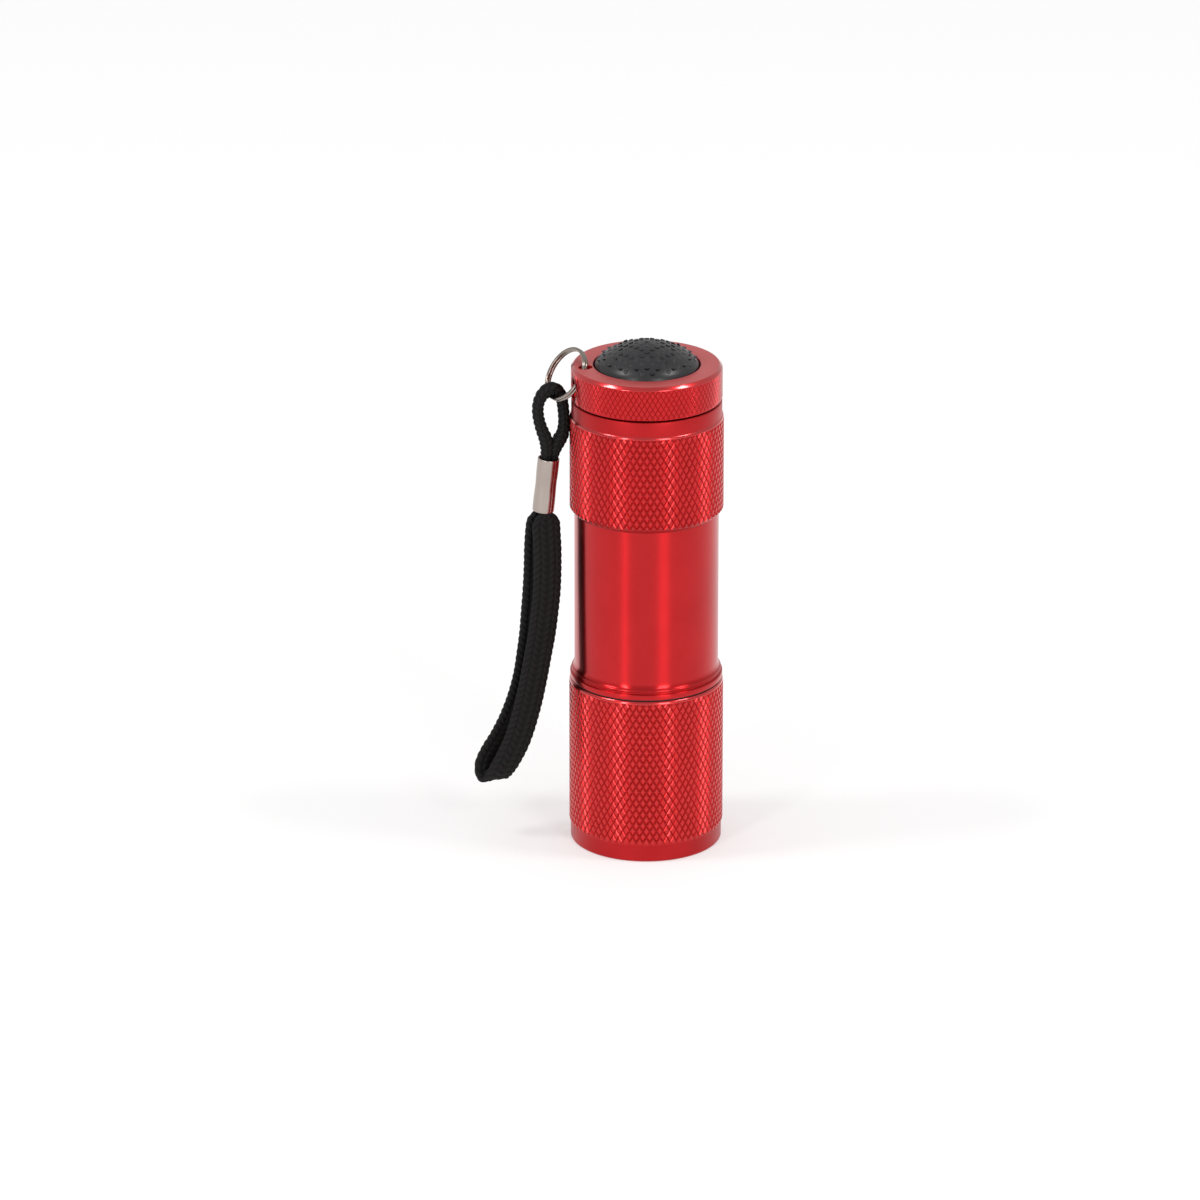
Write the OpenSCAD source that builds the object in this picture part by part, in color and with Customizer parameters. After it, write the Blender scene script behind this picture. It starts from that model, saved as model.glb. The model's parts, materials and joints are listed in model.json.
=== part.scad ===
// Pocket torch with nine LEDs, three AAA cells in a carrier, a tail-cap push switch
// and a wrist lanyard on a split ring. It stands on its lamp end.
// Millimetres. Origin: centre of the front lip. +Z runs along the torch towards the tail button.
// -Y is the front, and the lanyard hangs on the -X side.

/* [Cells and carrier] */
// Diameter of one AAA cell
cell_d = 10.3; // [9.5:0.1:12.5]
// Length of one AAA cell with its positive nub
cell_len = 44.5; // [36:0.5:54]
// Clear gap between neighbouring cells
cell_gap = 0.18; // [0.1:0.02:0.6]
// Thickness of the carrier's end discs
carrier_disc_h = 2.2; // [1.6:0.1:3]
// Room for a cell's spring inside the carrier
cell_spring_h = 2.1; // [1.5:0.1:3]
// Thickness of the contact plates in the carrier
plate_h = 0.4; // [0.3:0.05:0.8]
// Radial clearance between the carrier and the tube
carrier_clear = 0.25; // [0.15:0.05:0.6]

/* [Body] */
// Wall of the plain tube
tube_wall = 1.13; // [0.9:0.01:2]
// Wall of the threaded spigot at the head end
spigot_wall = 0.7; // [0.5:0.05:0.85]
// How far the knurled grip band stands out from the tube
grip_step = 0.82; // [0.4:0.02:1.4]
// Length of the knurled grip band
grip_len = 17.75; // [10:0.25:21]
// Length of the smooth ring behind the grip band
ring_land_len = 2.65; // [2:0.05:4]
// How far the smooth ring lies below the grip band
ring_land_drop = 0.3; // [0.1:0.05:0.5]
// Depth of the counterbore that takes the tail cap
tail_bore_len = 8.2; // [7.9:0.1:9]

/* [Head] */
// Length of the head from lip to seam
head_len = 30.1; // [27:0.1:36]
// Wall of the head round its bore
head_wall = 1.3; // [1:0.05:2.5]
// Length of the smooth band in front of the knurl
head_lip_len = 3.1; // [2:0.1:5]
// How far the smooth band lies below the knurl
head_lip_drop = 0.25; // [0.1:0.05:0.5]
// Thickness of the lip that holds the lens in
lip_t = 1.6; // [1:0.1:2.2]
// Width of the ledge that the lens rests on
lip_ledge = 0.9; // [0.6:0.05:1.4]
// Radial clearance between the head and the spigot
head_fit = 0.05; // [0.03:0.01:0.1]
// Gap of the seam between head and body
seam_gap = 0.3; // [0.2:0.05:0.5]

/* [Lamp] */
// Height of the lens gasket
gasket_h = 0.8; // [0.6:0.1:1.2]
// Thickness of the lens
lens_t = 1.6; // [1.2:0.1:2.5]
// Height of the reflector
reflector_h = 6.6; // [5:0.1:7.6]
// LEDs in the ring round the middle one
led_count = 8; // [6:1:8]
// Diameter of an LED's dome
led_d = 5; // [3:0.1:5.1]
// Length of an LED from flange to dome tip
led_len = 8.6; // [8.2:0.1:9.6]
// Radius of the LED ring
led_ring_r = 7.7; // [7.7:0.1:8.1]
// Thickness of the LED board
board_t = 1.6; // [1:0.1:2]

/* [Tail cap and switch] */
// Height of the tail cap above its seam
cap_h = 6; // [5.2:0.1:8]
// How far the cap's side lies below the grip band
cap_drop = 0.25; // [0.1:0.05:0.5]
// Chamfer round the cap's flat top
cap_chamfer = 0.45; // [0.2:0.05:0.6]
// Width of the flat top between the chamfer and the button
cap_top_w = 3.4; // [3:0.1:3.6]
// Wall of the cap's threaded skirt
skirt_wall = 1.3; // [1:0.05:1.5]
// Length of the cap's threaded skirt
skirt_len = 7.8; // [7:0.1:7.8]
// Height of the button above the cap's top
button_rise = 4.2; // [2.5:0.1:5]
// Travel of the button
button_travel = 1.5; // [0.8:0.1:1.6]
// Wall of the rubber boot
boot_wall = 1.1; // [0.8:0.1:1.4]
// Clearance round the button in the cap
button_clear = 0.15; // [0.1:0.05:0.3]
// Pitch of the cap's thread
thread_pitch = 1; // [0.75:0.25:1.25]
// Turns of the cap's thread
thread_turns = 4; // [3:1:4]
// Radial clearance between the thread's crests and the counterbore
thread_clear = 0.1; // [0.05:0.01:0.2]

/* [Lanyard] */
// Mean radius of the split ring
ring_r = 4.7; // [4.5:0.05:5]
// Wire diameter of the split ring
ring_wire = 0.6; // [0.4:0.05:0.65]
// Radius of the ring's hole through the cap's rim
ring_hole_r = 1.1; // [1.1:0.05:1.2]
// Outside diameter of the crimped ferrule
ferrule_d = 3.8; // [3.7:0.1:5]
// Wall of the ferrule
ferrule_wall = 0.25; // [0.15:0.05:0.28]
// Width of the strap's flat braid
strap_w = 5.4; // [4:0.1:6]
// Thickness of the strap's flat braid
strap_t = 1.3; // [1:0.1:1.5]
// Diameter of the cord in the small hanging loop
loop_d = 2.1; // [1.6:0.1:2.1]

/* [Hidden] */
$fn = 96;
eps = 0.01;

// Radii, from the cells outwards
cell_r = cell_d / 2;
cell_ring_r = (cell_d + cell_gap) / sqrt(3);
carrier_r = cell_ring_r + cell_r;
bore_r = carrier_r + carrier_clear;
tube_r = bore_r + tube_wall;
spigot_r = bore_r + spigot_wall;
head_bore_r = spigot_r + head_fit;
head_r = head_bore_r + head_wall;
head_lip_r = head_r - head_lip_drop;
lip_open_r = head_bore_r - lip_ledge;
grip_r = tube_r + grip_step;
ring_land_r = grip_r - ring_land_drop;
cap_r = grip_r - cap_drop;

// Heights of the lamp stack, from the lip upwards
lens_z = lip_t + gasket_h;
reflector_z = lens_z + lens_t;
led_tip_z = reflector_z + 1;
board_z = led_tip_z + led_len;
spigot_z = board_z + board_t;
seat_clear = 0.12;
disc_r = head_bore_r - seat_clear;

// The LEDs and their cups
led_r = led_d / 2;
led_flange_r = led_r + 0.4;
led_flange_h = 1;
led_flange_z = board_z - led_flange_h;
cup_neck_r = led_r + 0.1;
cup_mouth_r = led_r + 0.35;

// Heights of the body's outside, from the seam upwards
body_z = head_len + seam_gap;
collar_band_h = 1;
collar_groove_h = 0.3;
collar_bead_h = 0.4;
collar_cove_h = 1.2;
collar_r = grip_r - 0.05;
collar_bead_r = grip_r - 0.3;
collar_groove_depth = 0.25;
cove_start_z = body_z + collar_band_h + collar_groove_h + collar_bead_h;
tube_z = cove_start_z + collar_cove_h;

// Heights of the battery stack
head_spring_h = 4.4;
terminal_h = 0.4;
carrier_z = spigot_z + head_spring_h + terminal_h;
cells_z = carrier_z + carrier_disc_h + plate_h;
cells_top_z = cells_z + cell_len + cell_spring_h - plate_h;
carrier_top_z = cells_top_z + plate_h + carrier_disc_h;
terminal_top_z = carrier_top_z + terminal_h;
nub_h = 0.9;
nub_r = 1.9;

// Heights of the tail, from the carrier upwards
tail_room_h = 9.7;
body_top_z = terminal_top_z + tail_room_h;
cap_z = body_top_z + seam_gap;
cap_top_z = cap_z + cap_h;
skirt_z = cap_z - skirt_len;
tail_bore_z = body_top_z - tail_bore_len;
tail_bore_r = cap_r - 1;
thread_depth = 0.45;
thread_crest_r = tail_bore_r - thread_clear;
thread_start = 0.6;
skirt_r = thread_crest_r - thread_depth;
cap_bore_r = skirt_r - skirt_wall;
button_bore_r = cap_r - cap_chamfer - cap_top_w;
shoulder_h = 2.4;
shoulder_z = cap_top_z - shoulder_h;
ring_land_z = body_top_z - ring_land_len;
grip_z = ring_land_z - grip_len;
grip_chamfer_h = grip_step;

// The switch, from the shoulder in the cap downwards
module_clear = 0.1;
module_r = cap_bore_r - module_clear;
boot_flange_h = 1.2;
boot_flange_z = shoulder_z - boot_flange_h;
boot_r = button_bore_r - button_clear;
housing_top_z = boot_flange_z - button_travel - module_clear;
housing_flange_h = 1.3;
housing_flange_z = housing_top_z - housing_flange_h;
housing_z = skirt_z + 3.2;
housing_floor_h = 1.2;
housing_r = module_r - 1.5;
retainer_h = 3;
retainer_z = housing_flange_z - module_clear - retainer_h;
plunger_r = 4;
plunger_clear = 0.15;
plunger_head_r = 7.2;
plunger_head_h = 1.2;
plunger_z = housing_z + housing_floor_h + button_travel + module_clear;
plunger_bore_r = 2.6;
plunger_bore_h = 3;
base_h = 0.9;
base_z = housing_z - base_h;
rivet_r = 0.95;

// Seals
o_ring_r = 0.45;
seam_seal_inset = 0.5;
groove_clear = 0.08;
tail_o_ring_z = body_top_z - 1.4;

// The split ring: a hole leans through the cap's rim, and the ring turns about the hole's axis
ring_hole_lean = 33.8;
ring_hole_yaw = 32.6;
ring_hole_az = 193.1;
ring_hole_inset = 1;
ring_hole_drop = 2.15;
ring_turn_angle = 87;
ring_slack = 0.45;
ring_offset = ring_r - ring_slack;
ring_hole_at = [
    (cap_r - ring_hole_inset) * cos(ring_hole_az),
    (cap_r - ring_hole_inset) * sin(ring_hole_az),
    cap_top_z - ring_hole_drop
];

// The lanyard's points are set for the ring at its design place, and hang with the ring
ring_hole_design = [-11.83, -2.75, 85.65];
lanyard_shift = ring_hole_at - ring_hole_design;
ferrule_top = [-17.0, 0, 70.5];
ferrule_foot = [-18.0, 0, 60.8];
ferrule_len = norm(ferrule_top - ferrule_foot);
ferrule_tilt = atan2(ferrule_top.x - ferrule_foot.x, ferrule_top.z - ferrule_foot.z);
crimp_r = 0.75;

// Route of the small loop: up from the ferrule, over the ring's wire and down again
LOOP_POINTS = [
    [-18.2, -0.2, 66.2], [-17.9, -0.2, 69.2], [-17.8, -0.3, 71.2], [-17.9, -0.3, 73.2],
    [-18.3, -0.4, 75.6], [-18.8, -0.5, 78.0], [-19.0, -0.5, 80.2], [-18.5, -0.4, 82.2],
    [-17.4, -0.1, 83.4], [-16.0, 0.3, 83.5], [-14.9, 0.6, 82.4], [-14.6, 0.6, 80.8],
    [-14.7, 0.5, 79.0], [-14.9, 0.3, 77.0], [-15.1, 0.2, 75.0], [-15.6, 0.2, 73.0],
    [-16.0, 0.2, 71.2], [-16.3, 0.2, 69.2], [-16.6, 0.2, 66.2]
];

// Route of the strap: down the front strand, round the fold and up the back strand
STRAP_POINTS = [
    [-17.1, -0.7, 65.6], [-17.5, -0.7, 61.6], [-17.6, -0.8, 59.6], [-17.6, -1.0, 57.0],
    [-17.5, -1.2, 54.0], [-17.5, -1.3, 50.0], [-17.6, -1.3, 46.0], [-17.9, -1.3, 42.0],
    [-18.3, -1.3, 38.0], [-19.0, -1.3, 34.0], [-19.7, -1.3, 30.0], [-20.5, -1.3, 26.0],
    [-21.5, -1.4, 22.0], [-22.6, -1.5, 18.5], [-24.0, -1.7, 15.4], [-25.4, -1.5, 12.8],
    [-26.5, -0.7, 11.1], [-27.5, 0.4, 11.1], [-27.7, 1.3, 12.8], [-26.6, 1.7, 15.4],
    [-24.9, 1.6, 18.5], [-23.3, 1.4, 22.0], [-21.9, 1.2, 26.0], [-20.9, 1.1, 30.0],
    [-20.2, 1.1, 34.0], [-19.6, 1.1, 38.0], [-19.2, 1.1, 42.0], [-18.9, 1.1, 46.0],
    [-18.7, 1.1, 50.0], [-18.6, 1.0, 54.0], [-18.5, 0.9, 57.0], [-18.4, 0.8, 59.6],
    [-18.3, 0.7, 61.6], [-17.9, 0.7, 65.6]
];
STRAP_ACROSS = [0.87, 0.49, 0];
LOOP_ACROSS = [-0.34, 0.94, 0];

LED_NODES = [for (i = [1:led_count + 1]) str("led_", i)];
CELL_NODES = [for (i = [1:3]) str("cell_", i)];
CELL_SPRING_NODES = [for (i = [1:3]) str("cell_spring_", i)];

// ---- helpers ----

module ring(outer_r, inner_r, z, h) {
    translate([0, 0, z])
        difference() {
            cylinder(r = outer_r, h = h);
            translate([0, 0, -1]) cylinder(r = inner_r, h = h + 2);
        }
}

module o_ring(mid_r, z) {
    translate([0, 0, z])
        rotate_extrude()
            translate([mid_r, 0]) circle(r = o_ring_r, $fn = 32);
}

// Joins rings of points into one closed skin with a flat fan at each end
module skin(rings) {
    sides = len(rings[0]);
    last = len(rings) - 1;
    points = [for (r = rings) for (p = r) p];
    walls = [
        for (i = [0:last - 1]) for (j = [0:sides - 1])
            [i * sides + j, i * sides + (j + 1) % sides,
             (i + 1) * sides + (j + 1) % sides, (i + 1) * sides + j]
    ];
    start_cap = [[for (j = [sides - 1:-1:0]) j]];
    end_cap = [[for (j = [0:sides - 1]) last * sides + j]];
    polyhedron(points = points, faces = concat(walls, start_cap, end_cap), convexity = 10);
}

function unit(v) = v / norm(v);

// A coil spring of round wire whose radius runs from r0 at the bottom to r1 at the top
module coil(r0, r1, z, h, wire, turns) {
    steps_per_turn = 14;
    wire_sides = 6;
    wire_r = wire / 2;
    steps = turns * steps_per_turn;
    rise = h - wire;
    rings = [
        for (i = [0:steps])
            let (
                f = i / steps,
                a = -360 * turns * f,
                r = r0 + (r1 - r0) * f,
                out = [cos(a), sin(a), 0],
                mid = r * out + [0, 0, z + wire_r + rise * f]
            )
            [for (j = [0:wire_sides - 1])
                let (b = 360 * j / wire_sides)
                mid + wire_r * (cos(b) * out + sin(b) * [0, 0, 1])]
    ];
    skin(rings);
}

// A braid along a route: w wide and t thick, gathered to crimp_r at both ends
module braid(pts, across, w, t, gather, sides) {
    n = len(pts) - 1;
    rings = [
        for (i = [0:n])
            let (
                here = pts[i],
                along = unit(pts[min(i + 1, n)] - pts[max(i - 1, 0)]),
                wide = unit(across - (across * along) * along),
                thick = cross(along, wide),
                near_end = min(i, n - i),
                full = min(1, max(0, (near_end - 1) / gather)),
                half_w = crimp_r + (w / 2 - crimp_r) * full,
                half_t = crimp_r + (t / 2 - crimp_r) * full
            )
            [for (j = [0:sides - 1])
                let (b = 360 * (j + 0.5) / sides)
                here + half_w * cos(b) * wide + half_t * sin(b) * thick]
    ];
    translate(lanyard_shift) skin(rings);
}

module in_ring_hole() {
    translate(ring_hole_at)
        rotate([0, 0, ring_hole_yaw])
            rotate([0, ring_hole_lean, 0])
                children();
}

// ---- head and lamp ----

module head() {
    chamfer = 0.3;
    color("firebrick")
        rotate_extrude()
            difference() {
                polygon([
                    [0, 0],
                    [head_lip_r - chamfer, 0],
                    [head_lip_r, chamfer],
                    [head_lip_r, head_lip_len],
                    [head_r, head_lip_len + head_lip_drop],
                    [head_r, head_len - chamfer],
                    [head_r - chamfer, head_len],
                    [0, head_len]
                ]);
                translate([-1, -1]) square([lip_open_r + 1, lip_t + 2]);
                translate([-1, lip_t]) square([head_bore_r + 1, head_len]);
            }
}

module lens_gasket() {
    color("dimgray") ring(disc_r, lip_open_r + 0.1, lip_t, gasket_h);
}

module lens() {
    color([0.85, 0.9, 0.95, 0.4])
        translate([0, 0, lens_z]) cylinder(r = disc_r, h = lens_t);
}

function led_place(i) =
    i == 1 ? [0, 0, 0]
    : let (a = 360 * (i - 2) / led_count) [led_ring_r * cos(a), led_ring_r * sin(a), 0];

module reflector() {
    color("gainsboro")
        difference() {
            translate([0, 0, reflector_z]) cylinder(r = disc_r, h = reflector_h);
            for (i = [1:led_count + 1])
                translate(led_place(i) + [0, 0, reflector_z - eps])
                    cylinder(r1 = cup_mouth_r, r2 = cup_neck_r, h = reflector_h + 2 * eps);
        }
}

module led(i) {
    color("white")
        translate(led_place(i)) {
            rotate_extrude() {
                intersection() {
                    translate([0, led_tip_z]) square([led_r, led_r + eps]);
                    translate([0, led_tip_z + led_r]) circle(r = led_r);
                }
                translate([0, led_tip_z + led_r])
                    square([led_r, led_flange_z - led_tip_z - led_r + eps]);
                translate([0, led_flange_z]) square([led_flange_r, led_flange_h]);
            }
        }
}

module led_board() {
    color("darkgreen")
        translate([0, 0, board_z]) cylinder(r = disc_r, h = board_t);
}

module head_spring() {
    color("goldenrod")
        coil(r0 = 5, r1 = 2.6, z = spigot_z, h = head_spring_h, wire = 0.7, turns = 4);
}

// ---- body ----

module body_tube() {
    chamfer = 0.3;
    color("firebrick")
        rotate_extrude()
            difference() {
                union() {
                    translate([0, spigot_z]) square([spigot_r, body_z - spigot_z + eps]);
                    polygon([
                        [0, body_z],
                        [collar_r, body_z],
                        [collar_r, body_z + collar_band_h],
                        [collar_r - collar_groove_depth, body_z + collar_band_h],
                        [collar_r - collar_groove_depth, body_z + collar_band_h + collar_groove_h],
                        [collar_bead_r, body_z + collar_band_h + collar_groove_h],
                        [collar_bead_r, cove_start_z],
                        [tube_r, tube_z],
                        [tube_r, grip_z],
                        [grip_r, grip_z + grip_chamfer_h],
                        [grip_r, ring_land_z],
                        [ring_land_r, ring_land_z],
                        [ring_land_r, body_top_z - chamfer],
                        [ring_land_r - chamfer, body_top_z],
                        [0, body_top_z]
                    ]);
                }
                translate([-1, spigot_z - 1]) square([bore_r + 1, body_top_z]);
                translate([-1, tail_bore_z]) square([tail_bore_r + 1, body_top_z]);
            }
}

module seam_seal() {
    color("black") ring(head_r - seam_seal_inset, spigot_r + 0.02, head_len, seam_gap);
}

// ---- battery carrier ----

module cell_spot(i) {
    rotate([0, 0, 120 * (i - 1) + 30]) translate([cell_ring_r, 0, 0]) children();
}

module battery_carrier() {
    rib_w = 2.6;
    rib_depth = 2;
    spine_r = 0.8;
    color("dimgray")
        difference() {
            union() {
                translate([0, 0, carrier_z]) cylinder(r = carrier_r, h = carrier_disc_h);
                translate([0, 0, carrier_top_z - carrier_disc_h])
                    cylinder(r = carrier_r, h = carrier_disc_h);
                translate([0, 0, carrier_z + 1])
                    cylinder(r = spine_r, h = carrier_top_z - carrier_z - 2);
                for (i = [1:3])
                    rotate([0, 0, 120 * i - 30])
                        translate([carrier_r - rib_depth - 0.4, -rib_w / 2, carrier_z + 1])
                            cube([rib_depth, rib_w, carrier_top_z - carrier_z - 2]);
            }
            translate([0, 0, carrier_z - 1]) cylinder(r = 1, h = 2.2);
        }
}

module front_terminal() {
    color("goldenrod")
        union() {
            translate([0, 0, carrier_z - terminal_h]) cylinder(r = 3.2, h = terminal_h);
            translate([0, 0, carrier_z - eps]) cylinder(r = 0.9, h = 1);
        }
}

module rear_terminal() {
    color("goldenrod") ring(8, 3.5, carrier_top_z, terminal_h);
}

// Two plates that lie on one end disc: one bridges two cells and one serves the third
module contact_plates(z, first_angle) {
    plate_outer_r = 8.4;
    plate_inner_r = 1.2;
    slot_w = 0.8;
    color("goldenrod")
        difference() {
            ring(plate_outer_r, plate_inner_r, z, plate_h);
            for (a = [first_angle, first_angle + 120])
                rotate([0, 0, a])
                    translate([0, -slot_w / 2, z - 1])
                        cube([plate_outer_r + 1, slot_w, plate_h + 2]);
        }
}

module front_plates() {
    contact_plates(cells_z - plate_h, -30);
}

module rear_plates() {
    contact_plates(cells_top_z, 90);
}

// The middle cell of the series stands the other way up
function cell_flipped(i) = i == 2;

module flip_cell(i) {
    mid_z = (cells_z + cells_top_z) / 2;
    if (cell_flipped(i))
        translate([0, 0, mid_z]) mirror([0, 0, 1]) translate([0, 0, -mid_z]) children();
    else
        children();
}

module cell(i) {
    color(i == 2 ? "silver" : "slategray")
        cell_spot(i) flip_cell(i)
            union() {
                translate([0, 0, cells_z + nub_h]) cylinder(r = cell_r, h = cell_len - nub_h);
                translate([0, 0, cells_z]) cylinder(r = nub_r, h = nub_h + eps);
            }
}

module cell_spring(i) {
    color("silver")
        cell_spot(i) flip_cell(i)
            coil(r0 = 3.4, r1 = 2, z = cells_z + cell_len,
                h = cells_top_z - cells_z - cell_len, wire = 0.5, turns = 2);
}

// ---- tail cap and switch ----

// Section of one thread ridge, which stands on the skirt
module thread_ridge(z) {
    polygon([
        [skirt_r - eps, z],
        [thread_crest_r, z + 0.35 * thread_pitch],
        [thread_crest_r, z + 0.5 * thread_pitch],
        [skirt_r - eps, z + 0.85 * thread_pitch]
    ]);
}

module tail_cap() {
    o_ring_seat_r = skirt_r - o_ring_r;
    color("firebrick")
        difference() {
            rotate_extrude()
                difference() {
                    union() {
                        polygon([
                            [0, skirt_z],
                            [skirt_r, skirt_z],
                            [skirt_r, cap_z],
                            [cap_r, cap_z],
                            [cap_r, cap_top_z - cap_chamfer],
                            [cap_r - cap_chamfer, cap_top_z],
                            [0, cap_top_z]
                        ]);
                        for (k = [0:thread_turns - 1])
                            thread_ridge(skirt_z + thread_start + k * thread_pitch);
                    }
                    translate([-1, skirt_z - 1]) square([button_bore_r + 1, cap_top_z]);
                    translate([-1, skirt_z - 1]) square([cap_bore_r + 1, shoulder_z - skirt_z + 1]);
                    translate([o_ring_seat_r, tail_o_ring_z - o_ring_r - seat_clear])
                        square([o_ring_r + 1, 2 * (o_ring_r + seat_clear)]);
                }
            in_ring_hole() cylinder(r = ring_hole_r, h = 16, center = true, $fn = 32);
        }
}

module tail_o_ring() {
    color("black") o_ring(skirt_r + groove_clear, tail_o_ring_z);
}

module tail_spring() {
    color("goldenrod")
        coil(r0 = 6, r1 = 4.4, z = terminal_top_z, h = base_z - terminal_top_z, wire = 0.8, turns = 4);
}

module switch_retainer() {
    color("darkgoldenrod")
        difference() {
            ring(module_r, housing_r + module_clear, retainer_z, retainer_h);
            for (a = [0, 90])
                rotate([0, 0, a])
                    translate([-module_r - 1, -0.7, retainer_z - 1])
                        cube([2 * module_r + 2, 1.4, 1.8]);
        }
}

module switch_housing() {
    color("ivory")
        difference() {
            union() {
                translate([0, 0, housing_z]) cylinder(r = housing_r, h = housing_top_z - housing_z);
                translate([0, 0, housing_flange_z]) cylinder(r = module_r, h = housing_flange_h);
            }
            translate([0, 0, housing_z + housing_floor_h])
                cylinder(r = plunger_r + plunger_clear, h = housing_top_z - housing_z);
            translate([0, 0, housing_z - 1]) cylinder(r = rivet_r + 0.05, h = 4);
        }
}

module switch_base() {
    color("goldenrod")
        union() {
            translate([0, 0, base_z]) cylinder(r = housing_r - 0.6, h = base_h);
            translate([0, 0, base_z]) cylinder(r = rivet_r, h = base_h + housing_floor_h);
        }
}

module switch_spring() {
    spring_h = plunger_z + plunger_bore_h - housing_z - housing_floor_h;
    color("silver")
        coil(r0 = 2.15, r1 = 2.15, z = housing_z + housing_floor_h, h = spring_h, wire = 0.35, turns = 5);
}

module switch_cam() {
    tooth_count = 8;
    cam_in_r = plunger_r - 1;
    cam_h = 1.4;
    color("whitesmoke")
        union() {
            ring(plunger_r, cam_in_r, plunger_z, cam_h - 0.5);
            for (k = [0:tooth_count - 1])
                rotate([0, 0, 360 * k / tooth_count])
                    translate([cam_in_r + 0.1, -0.5, plunger_z + cam_h - 0.8])
                        cube([0.75, 1, 0.8]);
        }
}

module switch_plunger() {
    step_h = 1.45;
    color("whitesmoke")
        difference() {
            union() {
                translate([0, 0, plunger_z]) cylinder(r = plunger_r - 1.05, h = step_h + 1);
                translate([0, 0, plunger_z + step_h])
                    cylinder(r = plunger_r, h = boot_flange_z - plunger_z - step_h + eps);
                translate([0, 0, boot_flange_z]) cylinder(r = plunger_head_r, h = plunger_head_h);
            }
            translate([0, 0, plunger_z - 1]) cylinder(r = plunger_bore_r, h = plunger_bore_h + 1);
        }
}

// Half outline of the button's rounded cone, as [radius, height above the cap's top]
function button_outline(r, rise) = [
    for (k = [0:8])
        let (a = 90 * k / 8)
        [r * cos(a), -0.6 + (rise + 0.6) * (0.72 * sin(a) + 0.28 * (1 - cos(a)))]
];

module switch_boot() {
    inner_r = boot_r - boot_wall;
    inner_rise = button_rise - boot_wall;
    head_top_z = boot_flange_z + plunger_head_h;
    color([0.12, 0.12, 0.13])
        translate([0, 0, cap_top_z])
            rotate_extrude()
                difference() {
                    union() {
                        polygon(concat([[0, boot_flange_z - cap_top_z]],
                            [[boot_r, boot_flange_z - cap_top_z]],
                            button_outline(boot_r, button_rise)));
                        translate([0, boot_flange_z - cap_top_z])
                            square([module_r - 0.05, boot_flange_h - 0.05]);
                    }
                    translate([0, boot_flange_z - cap_top_z - 1])
                        square([plunger_head_r + 0.1, head_top_z - boot_flange_z + 1 + 0.1]);
                    polygon(concat([[0, head_top_z - cap_top_z]],
                        [[inner_r - 1.3, head_top_z - cap_top_z]],
                        button_outline(inner_r - 1.3, inner_rise)));
                }
}

// ---- lanyard ----

module split_ring() {
    turn_shift = ring_wire * 0.47;
    color("silver")
        in_ring_hole()
            rotate([0, 0, ring_turn_angle])
                translate([ring_offset, 0, 0])
                    rotate([90, 0, 0])
                        rotate_extrude()
                            for (s = [-1, 1])
                                translate([ring_r, s * turn_shift])
                                    circle(r = ring_wire / 2, $fn = 24);
}

module hanging_loop() {
    color([0.1, 0.1, 0.11]) braid(LOOP_POINTS, LOOP_ACROSS, loop_d, loop_d, 3, 8);
}

module ferrule() {
    color("lightgray")
        translate(ferrule_foot + lanyard_shift)
            rotate([0, ferrule_tilt, 0])
                difference() {
                    cylinder(d = ferrule_d, h = ferrule_len);
                    translate([0, 0, -1])
                        cylinder(d = ferrule_d - 2 * ferrule_wall, h = ferrule_len + 2);
                }
}

module wrist_strap() {
    color([0.1, 0.1, 0.11]) braid(STRAP_POINTS, STRAP_ACROSS, strap_w, strap_t, 4, 10);
}

// ---- the nodes ----

head();
lens_gasket();
lens();
reflector();
led_board();
head_spring();
for (i = [1:led_count + 1])
    led(i);
body_tube();
seam_seal();
battery_carrier();
front_terminal();
rear_terminal();
front_plates();
rear_plates();
for (i = [1:3])
    cell(i);
for (i = [1:3])
    cell_spring(i);
tail_cap();
tail_o_ring();
tail_spring();
switch_retainer();
switch_housing();
switch_base();
switch_spring();
switch_cam();
switch_plunger();
switch_boot();
split_ring();
hanging_loop();
ferrule();
wrist_strap();
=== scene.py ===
# %% [markdown]
# # A pocket torch with a wrist strap
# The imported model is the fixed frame: it says where each part is and how it moves. This script puts the
# real surfaces on it. Turned parts are spun from their profiles, the knurl and the button's grip points
# are instanced with Geometry Nodes, and the braided strap is a skin along its route. Parts that nobody
# sees from outside keep their frame shape and get a finish.

# %% Load the frame
import json
import math

import bmesh
import bpy
import numpy as np
from mathutils import Matrix, Vector


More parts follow.
